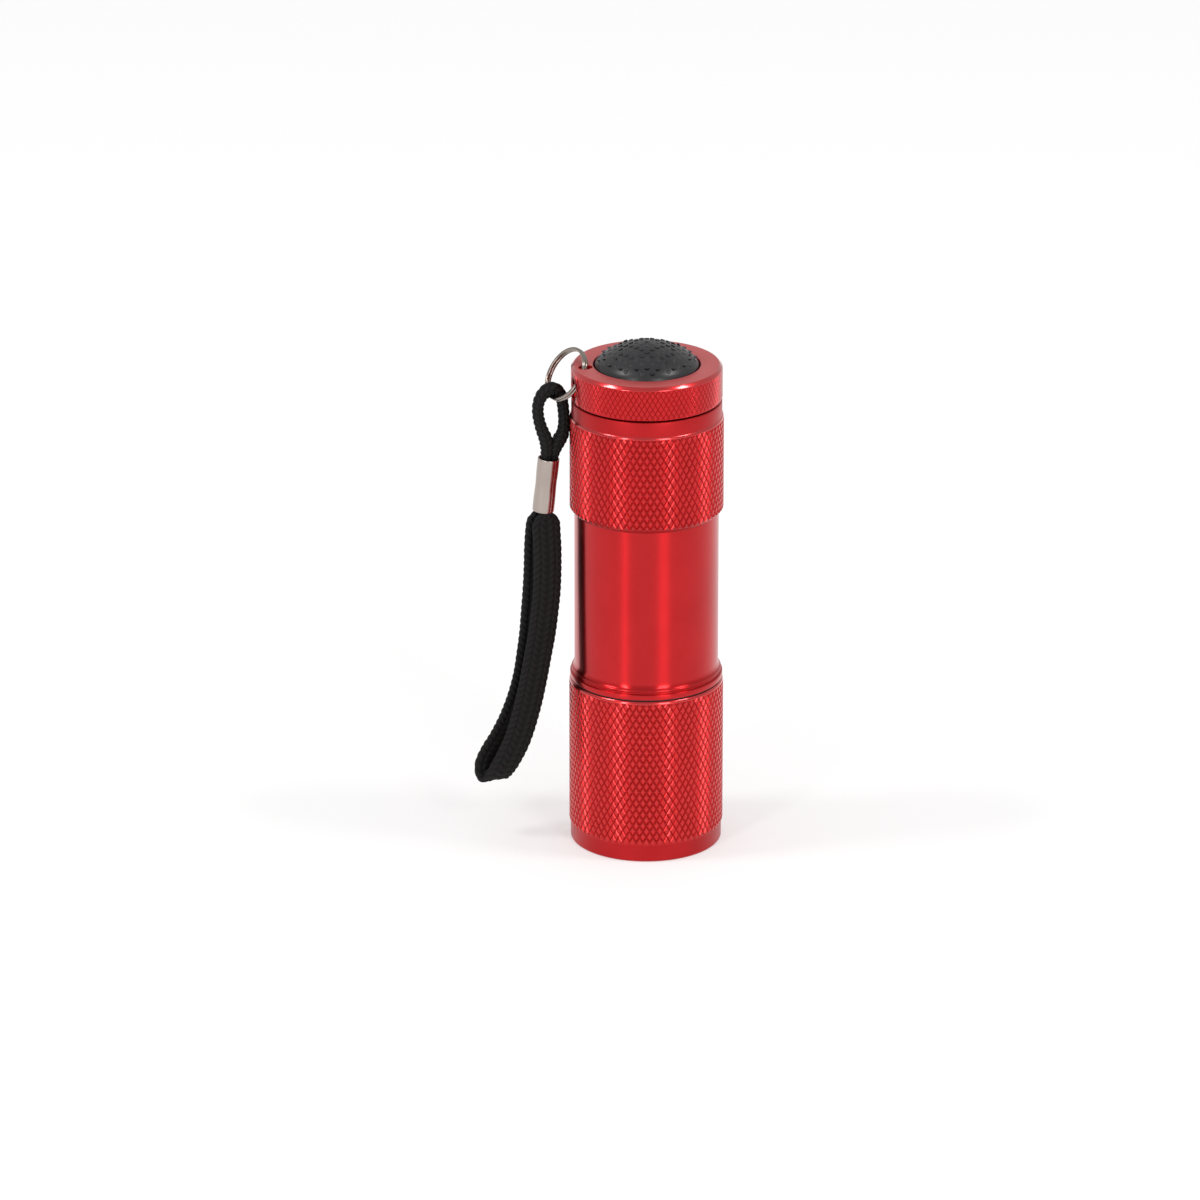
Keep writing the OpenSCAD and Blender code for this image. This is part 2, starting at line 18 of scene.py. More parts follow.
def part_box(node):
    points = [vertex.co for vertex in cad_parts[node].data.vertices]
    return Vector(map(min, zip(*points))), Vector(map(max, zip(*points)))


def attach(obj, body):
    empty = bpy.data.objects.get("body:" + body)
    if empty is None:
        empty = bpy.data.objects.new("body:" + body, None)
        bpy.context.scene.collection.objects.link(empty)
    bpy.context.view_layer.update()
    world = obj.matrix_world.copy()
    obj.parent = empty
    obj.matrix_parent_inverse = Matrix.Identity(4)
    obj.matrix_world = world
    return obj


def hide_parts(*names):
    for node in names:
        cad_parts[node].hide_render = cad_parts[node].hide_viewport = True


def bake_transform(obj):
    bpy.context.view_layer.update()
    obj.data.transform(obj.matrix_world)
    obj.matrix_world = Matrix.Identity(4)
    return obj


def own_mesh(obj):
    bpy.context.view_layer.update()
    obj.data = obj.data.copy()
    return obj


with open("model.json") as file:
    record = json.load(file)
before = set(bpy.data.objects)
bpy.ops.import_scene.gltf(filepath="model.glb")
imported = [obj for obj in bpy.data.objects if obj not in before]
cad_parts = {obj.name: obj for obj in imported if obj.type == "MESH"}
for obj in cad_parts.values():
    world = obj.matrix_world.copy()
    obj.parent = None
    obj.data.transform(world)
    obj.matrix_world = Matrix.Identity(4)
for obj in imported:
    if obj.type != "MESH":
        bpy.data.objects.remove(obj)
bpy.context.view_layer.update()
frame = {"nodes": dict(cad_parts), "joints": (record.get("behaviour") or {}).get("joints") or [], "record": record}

scene = bpy.context.scene
MM = 0.001

# %% [markdown]
# ## Camera
# A small product is shot from far away with a long lens, so its sides stay parallel. The camera looks
# down a little, which shows the flat top of the tail cap and the button.


# %% Camera
def new_object(name, data):
    made = bpy.data.objects.new(name, data)
    scene.collection.objects.link(made)
    return made


LOOK_AT = Vector((-8.1, 0, 44.1)) * MM
LOOK_DOWN = math.radians(20.7)
CAMERA_DISTANCE = 1.45
camera_data = bpy.data.cameras.new("camera")
camera_data.sensor_width = 36
camera_data.lens = 248.9
camera = new_object("camera", camera_data)
camera.location = LOOK_AT + CAMERA_DISTANCE * Vector((0, -math.cos(LOOK_DOWN), math.sin(LOOK_DOWN)))
camera.rotation_euler = (math.pi / 2 - LOOK_DOWN, 0, 0)
scene.camera = camera
print("camera at", tuple(round(c, 3) for c in camera.location))

# %% [markdown]
# ## Helpers for nodes
# Shader and geometry trees are built the same way: add a node, set its options, and give each input
# either a value or the socket that feeds it.


# %% Node helpers
def add(tree, kind, inputs=None, **options):
    made = tree.nodes.new(kind)
    for option, value in options.items():
        setattr(made, option, value)
    for socket, value in (inputs or {}).items():
        if isinstance(value, bpy.types.NodeSocket):
            tree.links.new(value, made.inputs[socket])
        else:
            made.inputs[socket].default_value = value
    return made


def new_group(name, kind, inputs, outputs):
    tree = bpy.data.node_groups.new(name, kind)
    for label, socket_type, default in inputs:
        socket = tree.interface.new_socket(label, in_out="INPUT", socket_type=socket_type)
        if default is not None:
            socket.default_value = default
    for label, socket_type in outputs:
        tree.interface.new_socket(label, in_out="OUTPUT", socket_type=socket_type)
    return tree, tree.nodes.new("NodeGroupInput").outputs, tree.nodes.new("NodeGroupOutput")


def math_node(tree, operation, a, b=0.0):
    return add(tree, "ShaderNodeMath", {0: a, 1: b}, operation=operation).outputs[0]


def noise(tree, place_at, scale, detail):
    inputs = {"Vector": place_at, "Scale": scale, "Detail": detail}
    return add(tree, "ShaderNodeTexNoise", inputs).outputs[0]


def mix_colours(tree, share, low, high):
    inputs = {0: share, 6: low, 7: high}
    return add(tree, "ShaderNodeMix", inputs, data_type="RGBA").outputs[2]


def axis_distance(tree, place_at):
    """How far a place is from the upright axis."""
    parts = add(tree, "ShaderNodeSeparateXYZ", {0: place_at}).outputs
    flat = add(tree, "ShaderNodeCombineXYZ", {0: parts[0], 1: parts[1]}).outputs[0]
    return add(tree, "ShaderNodeVectorMath", {0: flat}, operation="LENGTH").outputs["Value"]


print("node helpers ready")


# %% [markdown]
# ## Grain
# Anodised, plated and moulded surfaces are never one flat colour. A cloudy noise moves the colour a
# little, and a much finer one gives the tooth that the light catches. One group serves every hard
# finish, each with its own colours and scale.

# %% Grain group
grain, grain_in, grain_out = new_group(
    "surface grain",
    "ShaderNodeTree",
    [
        ("Colour", "NodeSocketColor", (0.5, 0.5, 0.5, 1)),
        ("Cloud Colour", "NodeSocketColor", (0.4, 0.4, 0.4, 1)),
        ("Cloud Scale", "NodeSocketFloat", 120.0),
        ("Grain Scale", "NodeSocketFloat", 6000.0),
        ("Roughness", "NodeSocketFloat", 0.3),
        ("Roughness Spread", "NodeSocketFloat", 0.05),
    ],
    [("Colour", "NodeSocketColor"), ("Roughness", "NodeSocketFloat"), ("Height", "NodeSocketFloat")],
)
grain_place = add(grain, "ShaderNodeTexCoord").outputs["Object"]
cloud = noise(grain, grain_place, grain_in["Cloud Scale"], 4.0)
fine = noise(grain, grain_place, grain_in["Grain Scale"], 2.0)
cloud_share = add(
    grain, "ShaderNodeMapRange", {"Value": cloud, "From Min": 0.35, "From Max": 0.7}
).outputs[0]
cloud_mix = mix_colours(grain, cloud_share, grain_in["Colour"], grain_in["Cloud Colour"])
centred = math_node(grain, "SUBTRACT", fine, 0.5)
spread = math_node(grain, "MULTIPLY", centred, grain_in["Roughness Spread"])
grain.links.new(cloud_mix, grain_out.inputs["Colour"])
grain.links.new(math_node(grain, "ADD", spread, grain_in["Roughness"]), grain_out.inputs["Roughness"])
grain.links.new(fine, grain_out.inputs["Height"])
print(grain.name, len(grain.nodes), "nodes")

# %% [markdown]
# ## Crest wear
# Knurl crests and corners rub against keys and pockets, so the dye thins there. The wear follows the
# distance from the torch's axis, broken up by noise, which is true on every turned part.

# %% Crest wear group
WEAR_PATCH_SCALE = 900.0
WEAR_FALL = 3.0
wear, wear_in, wear_out = new_group(
    "crest wear",
    "ShaderNodeTree",
    [
        ("Colour", "NodeSocketColor", (0.5, 0.0, 0.0, 1)),
        ("Worn Colour", "NodeSocketColor", (0.7, 0.1, 0.1, 1)),
        ("Root Radius", "NodeSocketFloat", 0.0131),
        ("Crest Radius", "NodeSocketFloat", 0.0135),
        ("Amount", "NodeSocketFloat", 0.4),
    ],
    [("Colour", "NodeSocketColor")],
)
wear_place = add(wear, "ShaderNodeTexCoord").outputs["Object"]
crest = add(
    wear,
    "ShaderNodeMapRange",
    {
        "Value": axis_distance(wear, wear_place),
        "From Min": wear_in["Root Radius"],
        "From Max": wear_in["Crest Radius"],
    },
).outputs[0]
patches = noise(wear, wear_place, WEAR_PATCH_SCALE, 3.0)
worn_share = math_node(wear, "MULTIPLY", math_node(wear, "POWER", crest, WEAR_FALL), patches)
worn_share = math_node(wear, "MULTIPLY", worn_share, wear_in["Amount"])
worn_mix = mix_colours(wear, worn_share, wear_in["Colour"], wear_in["Worn Colour"])
wear.links.new(worn_mix, wear_out.inputs["Colour"])
print(wear.name, len(wear.nodes), "nodes")

# %% [markdown]
# ## Yarn
# A braid is bundles of fine fibres. The mesh carries how high each point stands on its yarn, and the
# valleys between yarns are painted darker as painted shade; streaks along the yarns stand for single fibres.

# %% Yarn group
YARN_CONTRAST = 1.6
yarn, yarn_in, yarn_out = new_group(
    "yarn with painted shade",
    "ShaderNodeTree",
    [
        ("Painted Valley Shade", "NodeSocketColor", (0.002, 0.002, 0.002, 1)),
        ("Yarn Colour", "NodeSocketColor", (0.01, 0.009, 0.009, 1)),
        ("Fibre Scale", "NodeSocketFloat", 9.0),
    ],
    [("Colour", "NodeSocketColor"), ("Roughness", "NodeSocketFloat"), ("Height", "NodeSocketFloat")],
)
yarn_height = add(yarn, "ShaderNodeAttribute", attribute_name="yarn").outputs["Fac"]
yarn_uv = add(yarn, "ShaderNodeUVMap", uv_map="weave").outputs[0]
fibres = noise(yarn, yarn_uv, yarn_in["Fibre Scale"], 5.0)
# Colour runs from the painted valley shade in the low places to the yarn colour on the tops, streaked by the
# fibres.
yarn_share = math_node(yarn, "MULTIPLY", math_node(yarn, "POWER", yarn_height, 1.5), fibres)
yarn_share = math_node(yarn, "MULTIPLY", yarn_share, YARN_CONTRAST)
yarn_mix = mix_colours(yarn, yarn_share, yarn_in["Painted Valley Shade"], yarn_in["Yarn Colour"])
yarn_rough = math_node(yarn, "ADD", math_node(yarn, "MULTIPLY", fibres, 0.3), 0.55)
yarn.links.new(yarn_mix, yarn_out.inputs["Colour"])
yarn.links.new(yarn_rough, yarn_out.inputs["Roughness"])
yarn.links.new(fibres, yarn_out.inputs["Height"])
print(yarn.name, len(yarn.nodes), "nodes")

# %% [markdown]
# ## Finishes
# Each finish is one material with its own Principled shader. Red anodising is dyed oxide on metal: the
# metal mirrors in red, and the clear oxide over it mirrors white at glancing angles, which is the coat.


# %% Finish helpers
def new_finish(name, group, values, bump, bump_reach, **shader):
    """A material that takes colour, roughness and relief from a group; the rest is on its own shader."""
    made = bpy.data.materials.new(name)
    made.use_nodes = True
    tree = made.node_tree
    principled = tree.nodes["Principled BSDF"]
    pattern = add(tree, "ShaderNodeGroup", values, node_tree=group).outputs
    tree.links.new(pattern["Colour"], principled.inputs["Base Color"])
    tree.links.new(pattern["Roughness"], principled.inputs["Roughness"])
    relief = {"Height": pattern["Height"], "Strength": bump, "Distance": bump_reach}
    tree.links.new(add(tree, "ShaderNodeBump", relief).outputs[0], principled.inputs["Normal"])
    for socket, value in shader.items():
        principled.inputs[socket.replace("_", " ")].default_value = value
    return made


def finish(
    name, colour, cloud_colour, roughness, grain_scale, bump, cloud_scale=120.0, spread=0.06, **shader
):
    """A hard finish, on the grain group."""
    values = {
        "Colour": (*colour, 1),
        "Cloud Colour": (*cloud_colour, 1),
        "Cloud Scale": cloud_scale,
        "Grain Scale": grain_scale,
        "Roughness": roughness,
        "Roughness Spread": spread,
    }
    return new_finish(name, grain, values, bump, 0.02 * MM, **shader)


def add_wear(made, root, crest, worn_colour, amount):
    """Puts the crest wear group between a finish's grain and its shader."""
    tree = made.node_tree
    principled = tree.nodes["Principled BSDF"]
    values = {
        "Colour": principled.inputs["Base Color"].links[0].from_socket,
        "Worn Colour": (*worn_colour, 1),
        "Root Radius": root,
        "Crest Radius": crest,
        "Amount": amount,
    }
    group = add(tree, "ShaderNodeGroup", values, node_tree=wear)
    tree.links.new(group.outputs["Colour"], principled.inputs["Base Color"])
    return made


print("finish helpers ready")

# %% [markdown]
# The torch is one dye in five surfaces. The plain tube is turned smooth, and its fine turning marks run
# round it, so its shine is drawn out along its length. The smooth bands are satin, the cap's flat top is
# bead blasted, with a paler, pinker colour that is painted reflection of the white surround, the rolled
# edges are bright, and the knurl is worn on its crests.

# %% Metals
RED = (0.54, 0.0092, 0.0125)
DEEP_RED = (0.49, 0.0065, 0.009)
red_smooth = finish(
    "red_anodised_smooth", RED, DEEP_RED, 0.3, 5000.0, 0.05,
    Metallic=1.0, Anisotropic=0.9, Anisotropic_Rotation=0.25,
    Coat_Weight=0.3, Coat_Roughness=0.1, Coat_IOR=1.6,
)
smooth_tree = red_smooth.node_tree
turned = add(smooth_tree, "ShaderNodeTangent", direction_type="RADIAL", axis="Z").outputs[0]
smooth_tree.links.new(turned, smooth_tree.nodes["Principled BSDF"].inputs["Tangent"])
red_satin = finish(
    "red_anodised_satin", (0.48, 0.0085, 0.0115), (0.43, 0.006, 0.0085), 0.38, 6500.0, 0.16,
    Metallic=1.0, Coat_Weight=0.25, Coat_Roughness=0.4, Coat_IOR=1.6,
)
# The top's pale, pinker base colour is painted reflection of the white surround; its grain and roughness are the
# blasted finish.
red_blasted = finish(
    "red_anodised_blasted", (0.52, 0.056, 0.056), (0.47, 0.048, 0.048), 0.55, 6500.0, 0.3,
    Metallic=0.25, Coat_Weight=0.6, Coat_Roughness=0.45, Coat_IOR=1.6,
)
red_edge = finish(
    "red_anodised_edge", (0.68, 0.012, 0.015), RED, 0.22, 5000.0, 0.04,
    Metallic=1.0, Coat_Weight=1.0, Coat_Roughness=0.12, Coat_IOR=1.6,
)
red_knurled = add_wear(
    finish(
        "red_anodised_knurled", RED, DEEP_RED, 0.25, 5000.0, 0.08,
        Metallic=1.0, Coat_Weight=0.35, Coat_Roughness=0.15, Coat_IOR=1.6,
    ),
    13.1 * MM, 13.5 * MM, (0.8, 0.06, 0.05), 0.5,
)
# The ring's colour is darker and browner than bright nickel: painted reflection of the red torch and the black
# strap beside it.
nickel_ring = finish(
    "nickel_wire", (0.34, 0.29, 0.26), (0.27, 0.23, 0.20), 0.17, 3000.0, 0.05, Metallic=1.0
)
nickel_tube = finish(
    "nickel_ferrule", (0.44, 0.375, 0.34), (0.38, 0.32, 0.29), 0.24, 2500.0, 0.12, Metallic=1.0
)
gold = finish("gold_contact", (0.78, 0.52, 0.2), (0.62, 0.4, 0.14), 0.26, 2500.0, 0.1, Metallic=1.0)
steel = finish("spring_steel", (0.55, 0.55, 0.56), (0.42, 0.42, 0.43), 0.28, 2500.0, 0.1, Metallic=1.0)
mirror = finish(
    "bright_reflector", (0.88, 0.88, 0.9), (0.82, 0.82, 0.85), 0.06, 1500.0, 0.02, Metallic=1.0
)
print(len(bpy.data.materials), "metals")

# %% [markdown]
# Rubber and plastic are dull and slightly dusty. The button's rubber has a broad soft shine, and the
# lamp's lens and diode domes are clear plastic, which only needs transmission.

# %% Plastics, rubber and clear parts
rubber = finish("black_rubber", (0.012, 0.012, 0.013), (0.02, 0.02, 0.02), 0.6, 4000.0, 0.2)
button_rubber = finish(
    "button_rubber", (0.010, 0.0095, 0.0115), (0.017, 0.016, 0.018), 0.33, 4500.0, 0.2,
    cloud_scale=260.0, Specular_IOR_Level=0.5,
)
black_plastic = finish("black_plastic", (0.018, 0.018, 0.019), (0.026, 0.026, 0.027), 0.45, 3000.0, 0.2)
white_plastic = finish("white_plastic", (0.78, 0.76, 0.7), (0.7, 0.68, 0.62), 0.4, 3000.0, 0.15)
board_green = finish(
    "board_green", (0.01, 0.12, 0.04), (0.02, 0.2, 0.07), 0.35, 2000.0, 0.2, cloud_scale=700.0
)
cell_jacket = finish("cell_jacket", (0.03, 0.03, 0.035), (0.045, 0.045, 0.05), 0.22, 2500.0, 0.05)
clear_lens = finish(
    "clear_lens", (0.97, 0.98, 0.98), (0.95, 0.97, 0.97), 0.04, 900.0, 0.01, spread=0.02,
    Transmission_Weight=1.0, IOR=1.49,
)
led_epoxy = finish(
    "led_epoxy", (0.95, 0.96, 0.98), (0.9, 0.92, 0.95), 0.05, 900.0, 0.01, spread=0.02,
    Transmission_Weight=1.0, IOR=1.52,
)
# The braid's colour has painted shade in the valleys between its yarns.
black_braid = new_finish("black_braid", yarn, {}, 0.5, 0.05 * MM, Specular_IOR_Level=0.2)
print(len(bpy.data.materials), "finishes")

# %% [markdown]
# ## Mesh helpers
# `skin` closes rows of points into one solid, and `lathe` spins a closed profile round the torch's axis
# as a turning tool would. Both recalculate their normals, so faces point outwards.


# %% Settling a mesh
def settle(made, sharp=30, merge=True):
    """Merges doubles, turns the faces outwards and keeps edges sharper than the angle crisp."""
    mesh = made.data
    form = bmesh.new()
    form.from_mesh(mesh)
    if merge:
        bmesh.ops.remove_doubles(form, verts=form.verts, dist=1e-7)
    loose = [e for e in form.edges if not e.link_faces]
    bmesh.ops.delete(form, geom=loose, context="EDGES")
    bmesh.ops.recalc_face_normals(form, faces=form.faces)
    form.to_mesh(mesh)
    form.free()
    mesh.shade_smooth()
    mesh.set_sharp_from_angle(angle=math.radians(sharp))


def mesh_object(name, points, faces, material, sharp=30, merge=True):
    mesh = bpy.data.meshes.new(name)
    mesh.from_pydata([tuple(p) for p in points], [], [tuple(f) for f in faces])
    mesh.materials.append(material)
    made = new_object(name, mesh)
    settle(made, sharp, merge)
    return made


print("meshes can be settled")


# %% Skins and turned shapes
def ring_faces(rows, sides, closed):
    """Quads between rows of points; closed joins the last row to the first."""
    faces = []
    for i in range(rows if closed else rows - 1):
        low, high = i * sides, (i + 1) % rows * sides
        for j in range(sides):
            k = (j + 1) % sides
            faces.append((low + j, low + k, high + k, high + j))
    return faces


def skin(name, rows, material, sharp=40):
    """One closed solid through rows of points, with a flat face at each end."""
    count, sides, _ = rows.shape
    faces = ring_faces(count, sides, False)
    faces.append(tuple(range(sides)))
    faces.append(tuple(range((count - 1) * sides, count * sides)))
    return mesh_object(name, rows.reshape(-1, 3), faces, material, sharp, merge=False)


def lathe(name, profile, material, segments=160, sharp=30):
    """Spins a closed profile of (radius, height) round the torch's axis."""
    outline = np.array(profile)
    turn = np.linspace(0, 2 * math.pi, segments, endpoint=False)
    rows = np.stack(
        [
            np.outer(outline[:, 0], np.cos(turn)),
            np.outer(outline[:, 0], np.sin(turn)),
            np.repeat(outline[:, 1:], segments, axis=1),
        ],
        axis=2,
    )
    faces = ring_faces(len(outline), segments, True)
    return mesh_object(name, rows.reshape(-1, 3), faces, material, sharp)


def corner(radius, height, size, start, end, steps=4):
    """Points of a rounded corner about (radius, height), from start to end degrees."""
    turn = np.radians(np.linspace(start, end, steps + 1))
    return [(radius + size * math.cos(a), height + size * math.sin(a)) for a in turn]


print("skins and turned shapes ready")

# %% [markdown]
# ## Finishing and joining
# One turned piece can have several finishes. `paint` gives the faces between two heights another one,
# `join` puts a piece and its knurl in one object, and `place` hangs the piece on its body and hides the
# frame's nodes that it stands for.


# %% Finishing and joining
def dress(made, material):
    """The whole piece takes one finish."""
    made.data.materials.clear()
    made.data.materials.append(material)


def paint(made, material, low, high, test=None):
    """Faces whose centre lies between two heights, and passes the test, take another finish."""
    made.data.materials.append(material)
    slot = len(made.data.materials) - 1
    for face in made.data.polygons:
        if low < face.center.z < high and (test is None or test(face)):
            face.material_index = slot


def join(name, parts, sharp=22):
    """Puts several meshes into the first one's object, each with its own finishes."""
    form = bmesh.new()
    finishes = []
    for part in parts:
        done = len(form.faces)
        form.from_mesh(part.data)
        form.faces.ensure_lookup_table()
        slots = []
        for material in part.data.materials:
            if material not in finishes:
                finishes.append(material)
            slots.append(finishes.index(material))
        for face in form.faces[done:]:
            face.material_index = slots[min(face.material_index, len(slots) - 1)]
    parts[0].data.materials.clear()
    for material in finishes:
        parts[0].data.materials.append(material)
    form.to_mesh(parts[0].data)
    form.free()
    for part in parts[1:]:
        bpy.data.objects.remove(part)
    parts[0].name = name
    settle(parts[0], sharp)
    return parts[0]


def place(piece, body, slot, *nodes):
    """The piece moves with the body and stands for the frame's nodes, which are hidden; slot is not used."""
    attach(piece, body)
    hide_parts(*nodes)
    print(piece.name, len(piece.data.polygons), "faces")


print("pieces can be painted, joined and placed")

# %% [markdown]
# ## Cords
# The thin cord of the small loop and the flat wrist strap are both braids. Each is a skin along its
# route, and the yarns that cross it diagonally are real relief: the braid is cut in columns, and in each
# column the yarns lean the other way, which gives the herringbone.

# %% Routes, from the torch's own design, in metres
LOOP_ROUTE = np.array([
    (-18.0, -0.2, 66.2), (-17.7, -0.2, 69.2), (-17.4, -0.3, 71.2), (-17.3, -0.3, 72.6),
    (-17.5, -0.4, 74.0), (-18.3, -0.4, 76.2), (-18.8, -0.5, 78.4), (-18.8, -0.5, 80.4),
    (-18.2, -0.4, 82.0), (-17.1, -0.1, 83.0), (-15.9, 0.3, 82.9), (-15.0, 0.6, 81.9),
    (-14.6, 0.6, 80.4), (-14.4, 0.5, 78.6), (-14.35, 0.3, 76.8), (-14.6, 0.2, 75.0),
    (-15.3, 0.2, 73.5), (-15.9, 0.2, 71.9), (-16.3, 0.2, 69.2), (-16.6, 0.2, 66.2),
]) * MM
STRAP_ROUTE = np.array([
    (-17.1, -0.7, 65.6), (-17.5, -0.7, 61.6), (-17.5, -0.8, 59.6), (-17.4, -1.0, 57.0),
    (-17.25, -1.2, 54.0), (-17.25, -1.3, 50.0), (-17.4, -1.3, 46.0), (-17.8, -1.3, 42.0),
    (-18.3, -1.3, 38.0), (-19.0, -1.3, 34.0), (-19.7, -1.3, 30.0), (-20.5, -1.3, 26.0),
    (-21.5, -1.4, 22.0), (-22.6, -1.5, 18.5), (-24.0, -1.7, 15.4), (-25.4, -1.5, 12.8),
    (-26.5, -0.7, 11.1), (-27.5, 0.4, 11.1), (-27.7, 1.3, 12.8), (-26.6, 1.7, 15.4),
    (-24.9, 1.6, 18.5), (-23.3, 1.4, 22.0), (-21.9, 1.2, 26.0), (-20.9, 1.1, 30.0),
    (-20.3, 1.1, 34.0), (-19.8, 1.1, 38.0), (-19.5, 1.1, 42.0), (-19.2, 1.1, 46.0),
    (-19.0, 1.1, 50.0), (-18.9, 1.0, 54.0), (-18.7, 0.9, 57.0), (-18.4, 0.8, 59.6),
    (-18.3, 0.7, 61.6), (-17.9, 0.7, 65.6),
]) * MM
LOOP_ACROSS = (-0.34, 0.94, 0)
STRAP_ACROSS = (0.93, 0.37, 0)
LOOP_D = 2.1 * MM
STRAP_W = 5.4 * MM
STRAP_T = 1.3 * MM
CRIMP_R = 0.75 * MM
print(len(LOOP_ROUTE), "points on the loop,", len(STRAP_ROUTE), "on the strap")


# %% Smooth line through a route
def unit(v):
    return v / np.linalg.norm(v, axis=-1, keepdims=True)


def smooth_line(route, step):
    """Even steps along a smooth curve through the route; also each step's place in the route's list."""
    p = np.vstack([2 * route[0] - route[1], route, 2 * route[-1] - route[-2]])
    pieces = 30
    t = np.linspace(0, 1, pieces, endpoint=False)[:, None]
    fine = []
    for a, b, c, d in zip(p, p[1:], p[2:], p[3:]):
        square = 2 * a - 5 * b + 4 * c - d
        cube = 3 * b - 3 * c - a + d
        fine.append(0.5 * (2 * b + (c - a) * t + square * t**2 + cube * t**3))
    fine = np.vstack(fine + [route[-1:]])
    count = np.arange(len(fine)) / pieces
    along = np.concatenate([[0], np.cumsum(np.linalg.norm(np.diff(fine, axis=0), axis=1))])
    even = np.linspace(0, along[-1], int(along[-1] / step) + 1)
    line = np.stack([np.interp(even, along, fine[:, k]) for k in range(3)], axis=1)
    return line, even, np.interp(even, along, count)


print("the loop's route takes", len(smooth_line(LOOP_ROUTE, MM)[0]), "steps of 1 mm")

# %% Braid builder
YARN_LEAN = 0.75
YARN_ROUND = 0.92
COLUMN_DIP = 0.55
CRIMPED_RELIEF = 0.35
SQUARE_EDGE = 0.9


def braid(
    name, route, across, width, thickness, crimped, gather, columns, pick, relief, step, around, swell=()
):
    """The braid is gathered to its crimp up to a place in the route's list, and widens over a few more.

    swell is (place, reach, share) for each spot where a bend flattens the cord and makes it look thicker.
    """
    line, along, spot = smooth_line(route, step)
    tangent = unit(np.gradient(line, axis=0))
    across = np.array(across)
    wide = unit(across - (tangent @ across)[:, None] * tangent)
    thick = np.cross(tangent, wide)
    near_end = np.minimum(spot, len(route) - 1 - spot)
    full = np.clip((near_end - crimped) / gather, 0, 1)[:, None]
    full = full * full * (3 - 2 * full)
    half_w = CRIMP_R + (width / 2 - CRIMP_R) * full
    half_t = CRIMP_R + (thickness / 2 - CRIMP_R) * full
    for place_at, reach, share in swell:
        half_t *= 1 + share * np.exp(-(((spot - place_at) / reach) ** 2))[:, None] * full
    turn = np.linspace(0, 2 * math.pi, around, endpoint=False)[None, :]
    is_flat = width > 1.5 * thickness
    squareness = 2 / (2 + SQUARE_EDGE * full * is_flat)
    cos, sin = np.cos(turn), np.sin(turn)
    x = np.sign(cos) * np.abs(cos) ** squareness
    y = np.sign(sin) * np.abs(sin) ** squareness
    # place across the braid, in columns; a round cord wraps its columns all the way round
    column = ((x + 1) / 2 if is_flat else turn / (2 * math.pi)) * columns + 0 * full
    lean = np.where(np.floor(column) % 2 == 0, 1.0, -1.0)
    inside = column - np.floor(column)
    phase = along[:, None] / pick + lean * (inside - 0.5) * YARN_LEAN
    bulge = np.sqrt(1 - YARN_ROUND * (2 * (phase - np.floor(phase)) - 1) ** 2)
    height = bulge * (1 - COLUMN_DIP * np.abs(2 * inside - 1) ** 5)
    drop = relief * (height - 1) * (CRIMPED_RELIEF + (1 - CRIMPED_RELIEF) * full)
    out = unit(np.stack([x / half_w, y / half_t], axis=2))
    reach_w = x * half_w + out[:, :, 0] * drop
    reach_t = y * half_t + out[:, :, 1] * drop
    rows = line[:, None, :] + reach_w[:, :, None] * wide[:, None, :]
    rows = rows + reach_t[:, :, None] * thick[:, None, :]
    made = skin(name, rows, black_braid, sharp=180)
    # How high each point stands on its yarn, from which the yarn group paints shade into the valleys.
    keep = made.data.attributes.new("yarn", "FLOAT", "POINT")
    keep.data.foreach_set("value", height.astype(np.float32).reshape(-1))
    up_the_cord = np.repeat(along[:, None] / MM, around, axis=1)
    uv_points = np.stack([x * half_w / MM, up_the_cord], axis=2).reshape(-1, 2)
    corners = np.zeros(len(made.data.loops), np.int32)
    made.data.loops.foreach_get("vertex_index", corners)
    layer = made.data.uv_layers.new(name="weave")
    layer.data.foreach_set("uv", uv_points[corners].astype(np.float32).reshape(-1))
    print(name, "length", round(along[-1] / MM, 1), "mm")
    return made, line, float(along[-1])


print("braid builder ready")

# %% The small loop and the strap
loop_cord, loop_line, loop_length = braid(
    "loop_cord", LOOP_ROUTE, LOOP_ACROSS, LOOP_D, LOOP_D, 1.2, 0.9, 6, 1.0 * MM, 0.3 * MM, 0.1 * MM, 60,
    swell=[(9.3, 1.6, 0.28), (3.6, 1.2, 0.22), (15.8, 1.1, 0.3)],
)
place(loop_cord, "lanyard", "black_braid", "hanging_loop")
strap_braid, strap_line, strap_length = braid(
    "strap_braid", STRAP_ROUTE, STRAP_ACROSS, STRAP_W, STRAP_T, 0.9, 1.6, 4, 1.2 * MM, 0.34 * MM,
    0.17 * MM, 84,
)
place(strap_braid, "lanyard", "black_braid", "wrist_strap")

# %% [markdown]
# ## Ferrule
# The loop and the strap are held in a short nickel tube, rolled from sheet and squeezed shut. It has
# soft rolled lips, a slight waist from the pressing tool and a butt seam along one side. It is turned
# upright first, and then leaned as the frame has it.

# %% Ferrule
FERRULE_TOP = Vector((-17.0, 0, 70.5)) * MM
FERRULE_FOOT = Vector((-18.0, 0, 60.8)) * MM
FERRULE_R = 1.9 * MM
FERRULE_WALL = 0.25 * MM
FERRULE_LIP = 0.12 * MM
WAIST_DEPTH = 0.1 * MM
SEAM_AT = math.radians(-50)
SEAM_REACH = math.radians(4)
SEAM_DEPTH = 0.045
SQUEEZE = 0.025


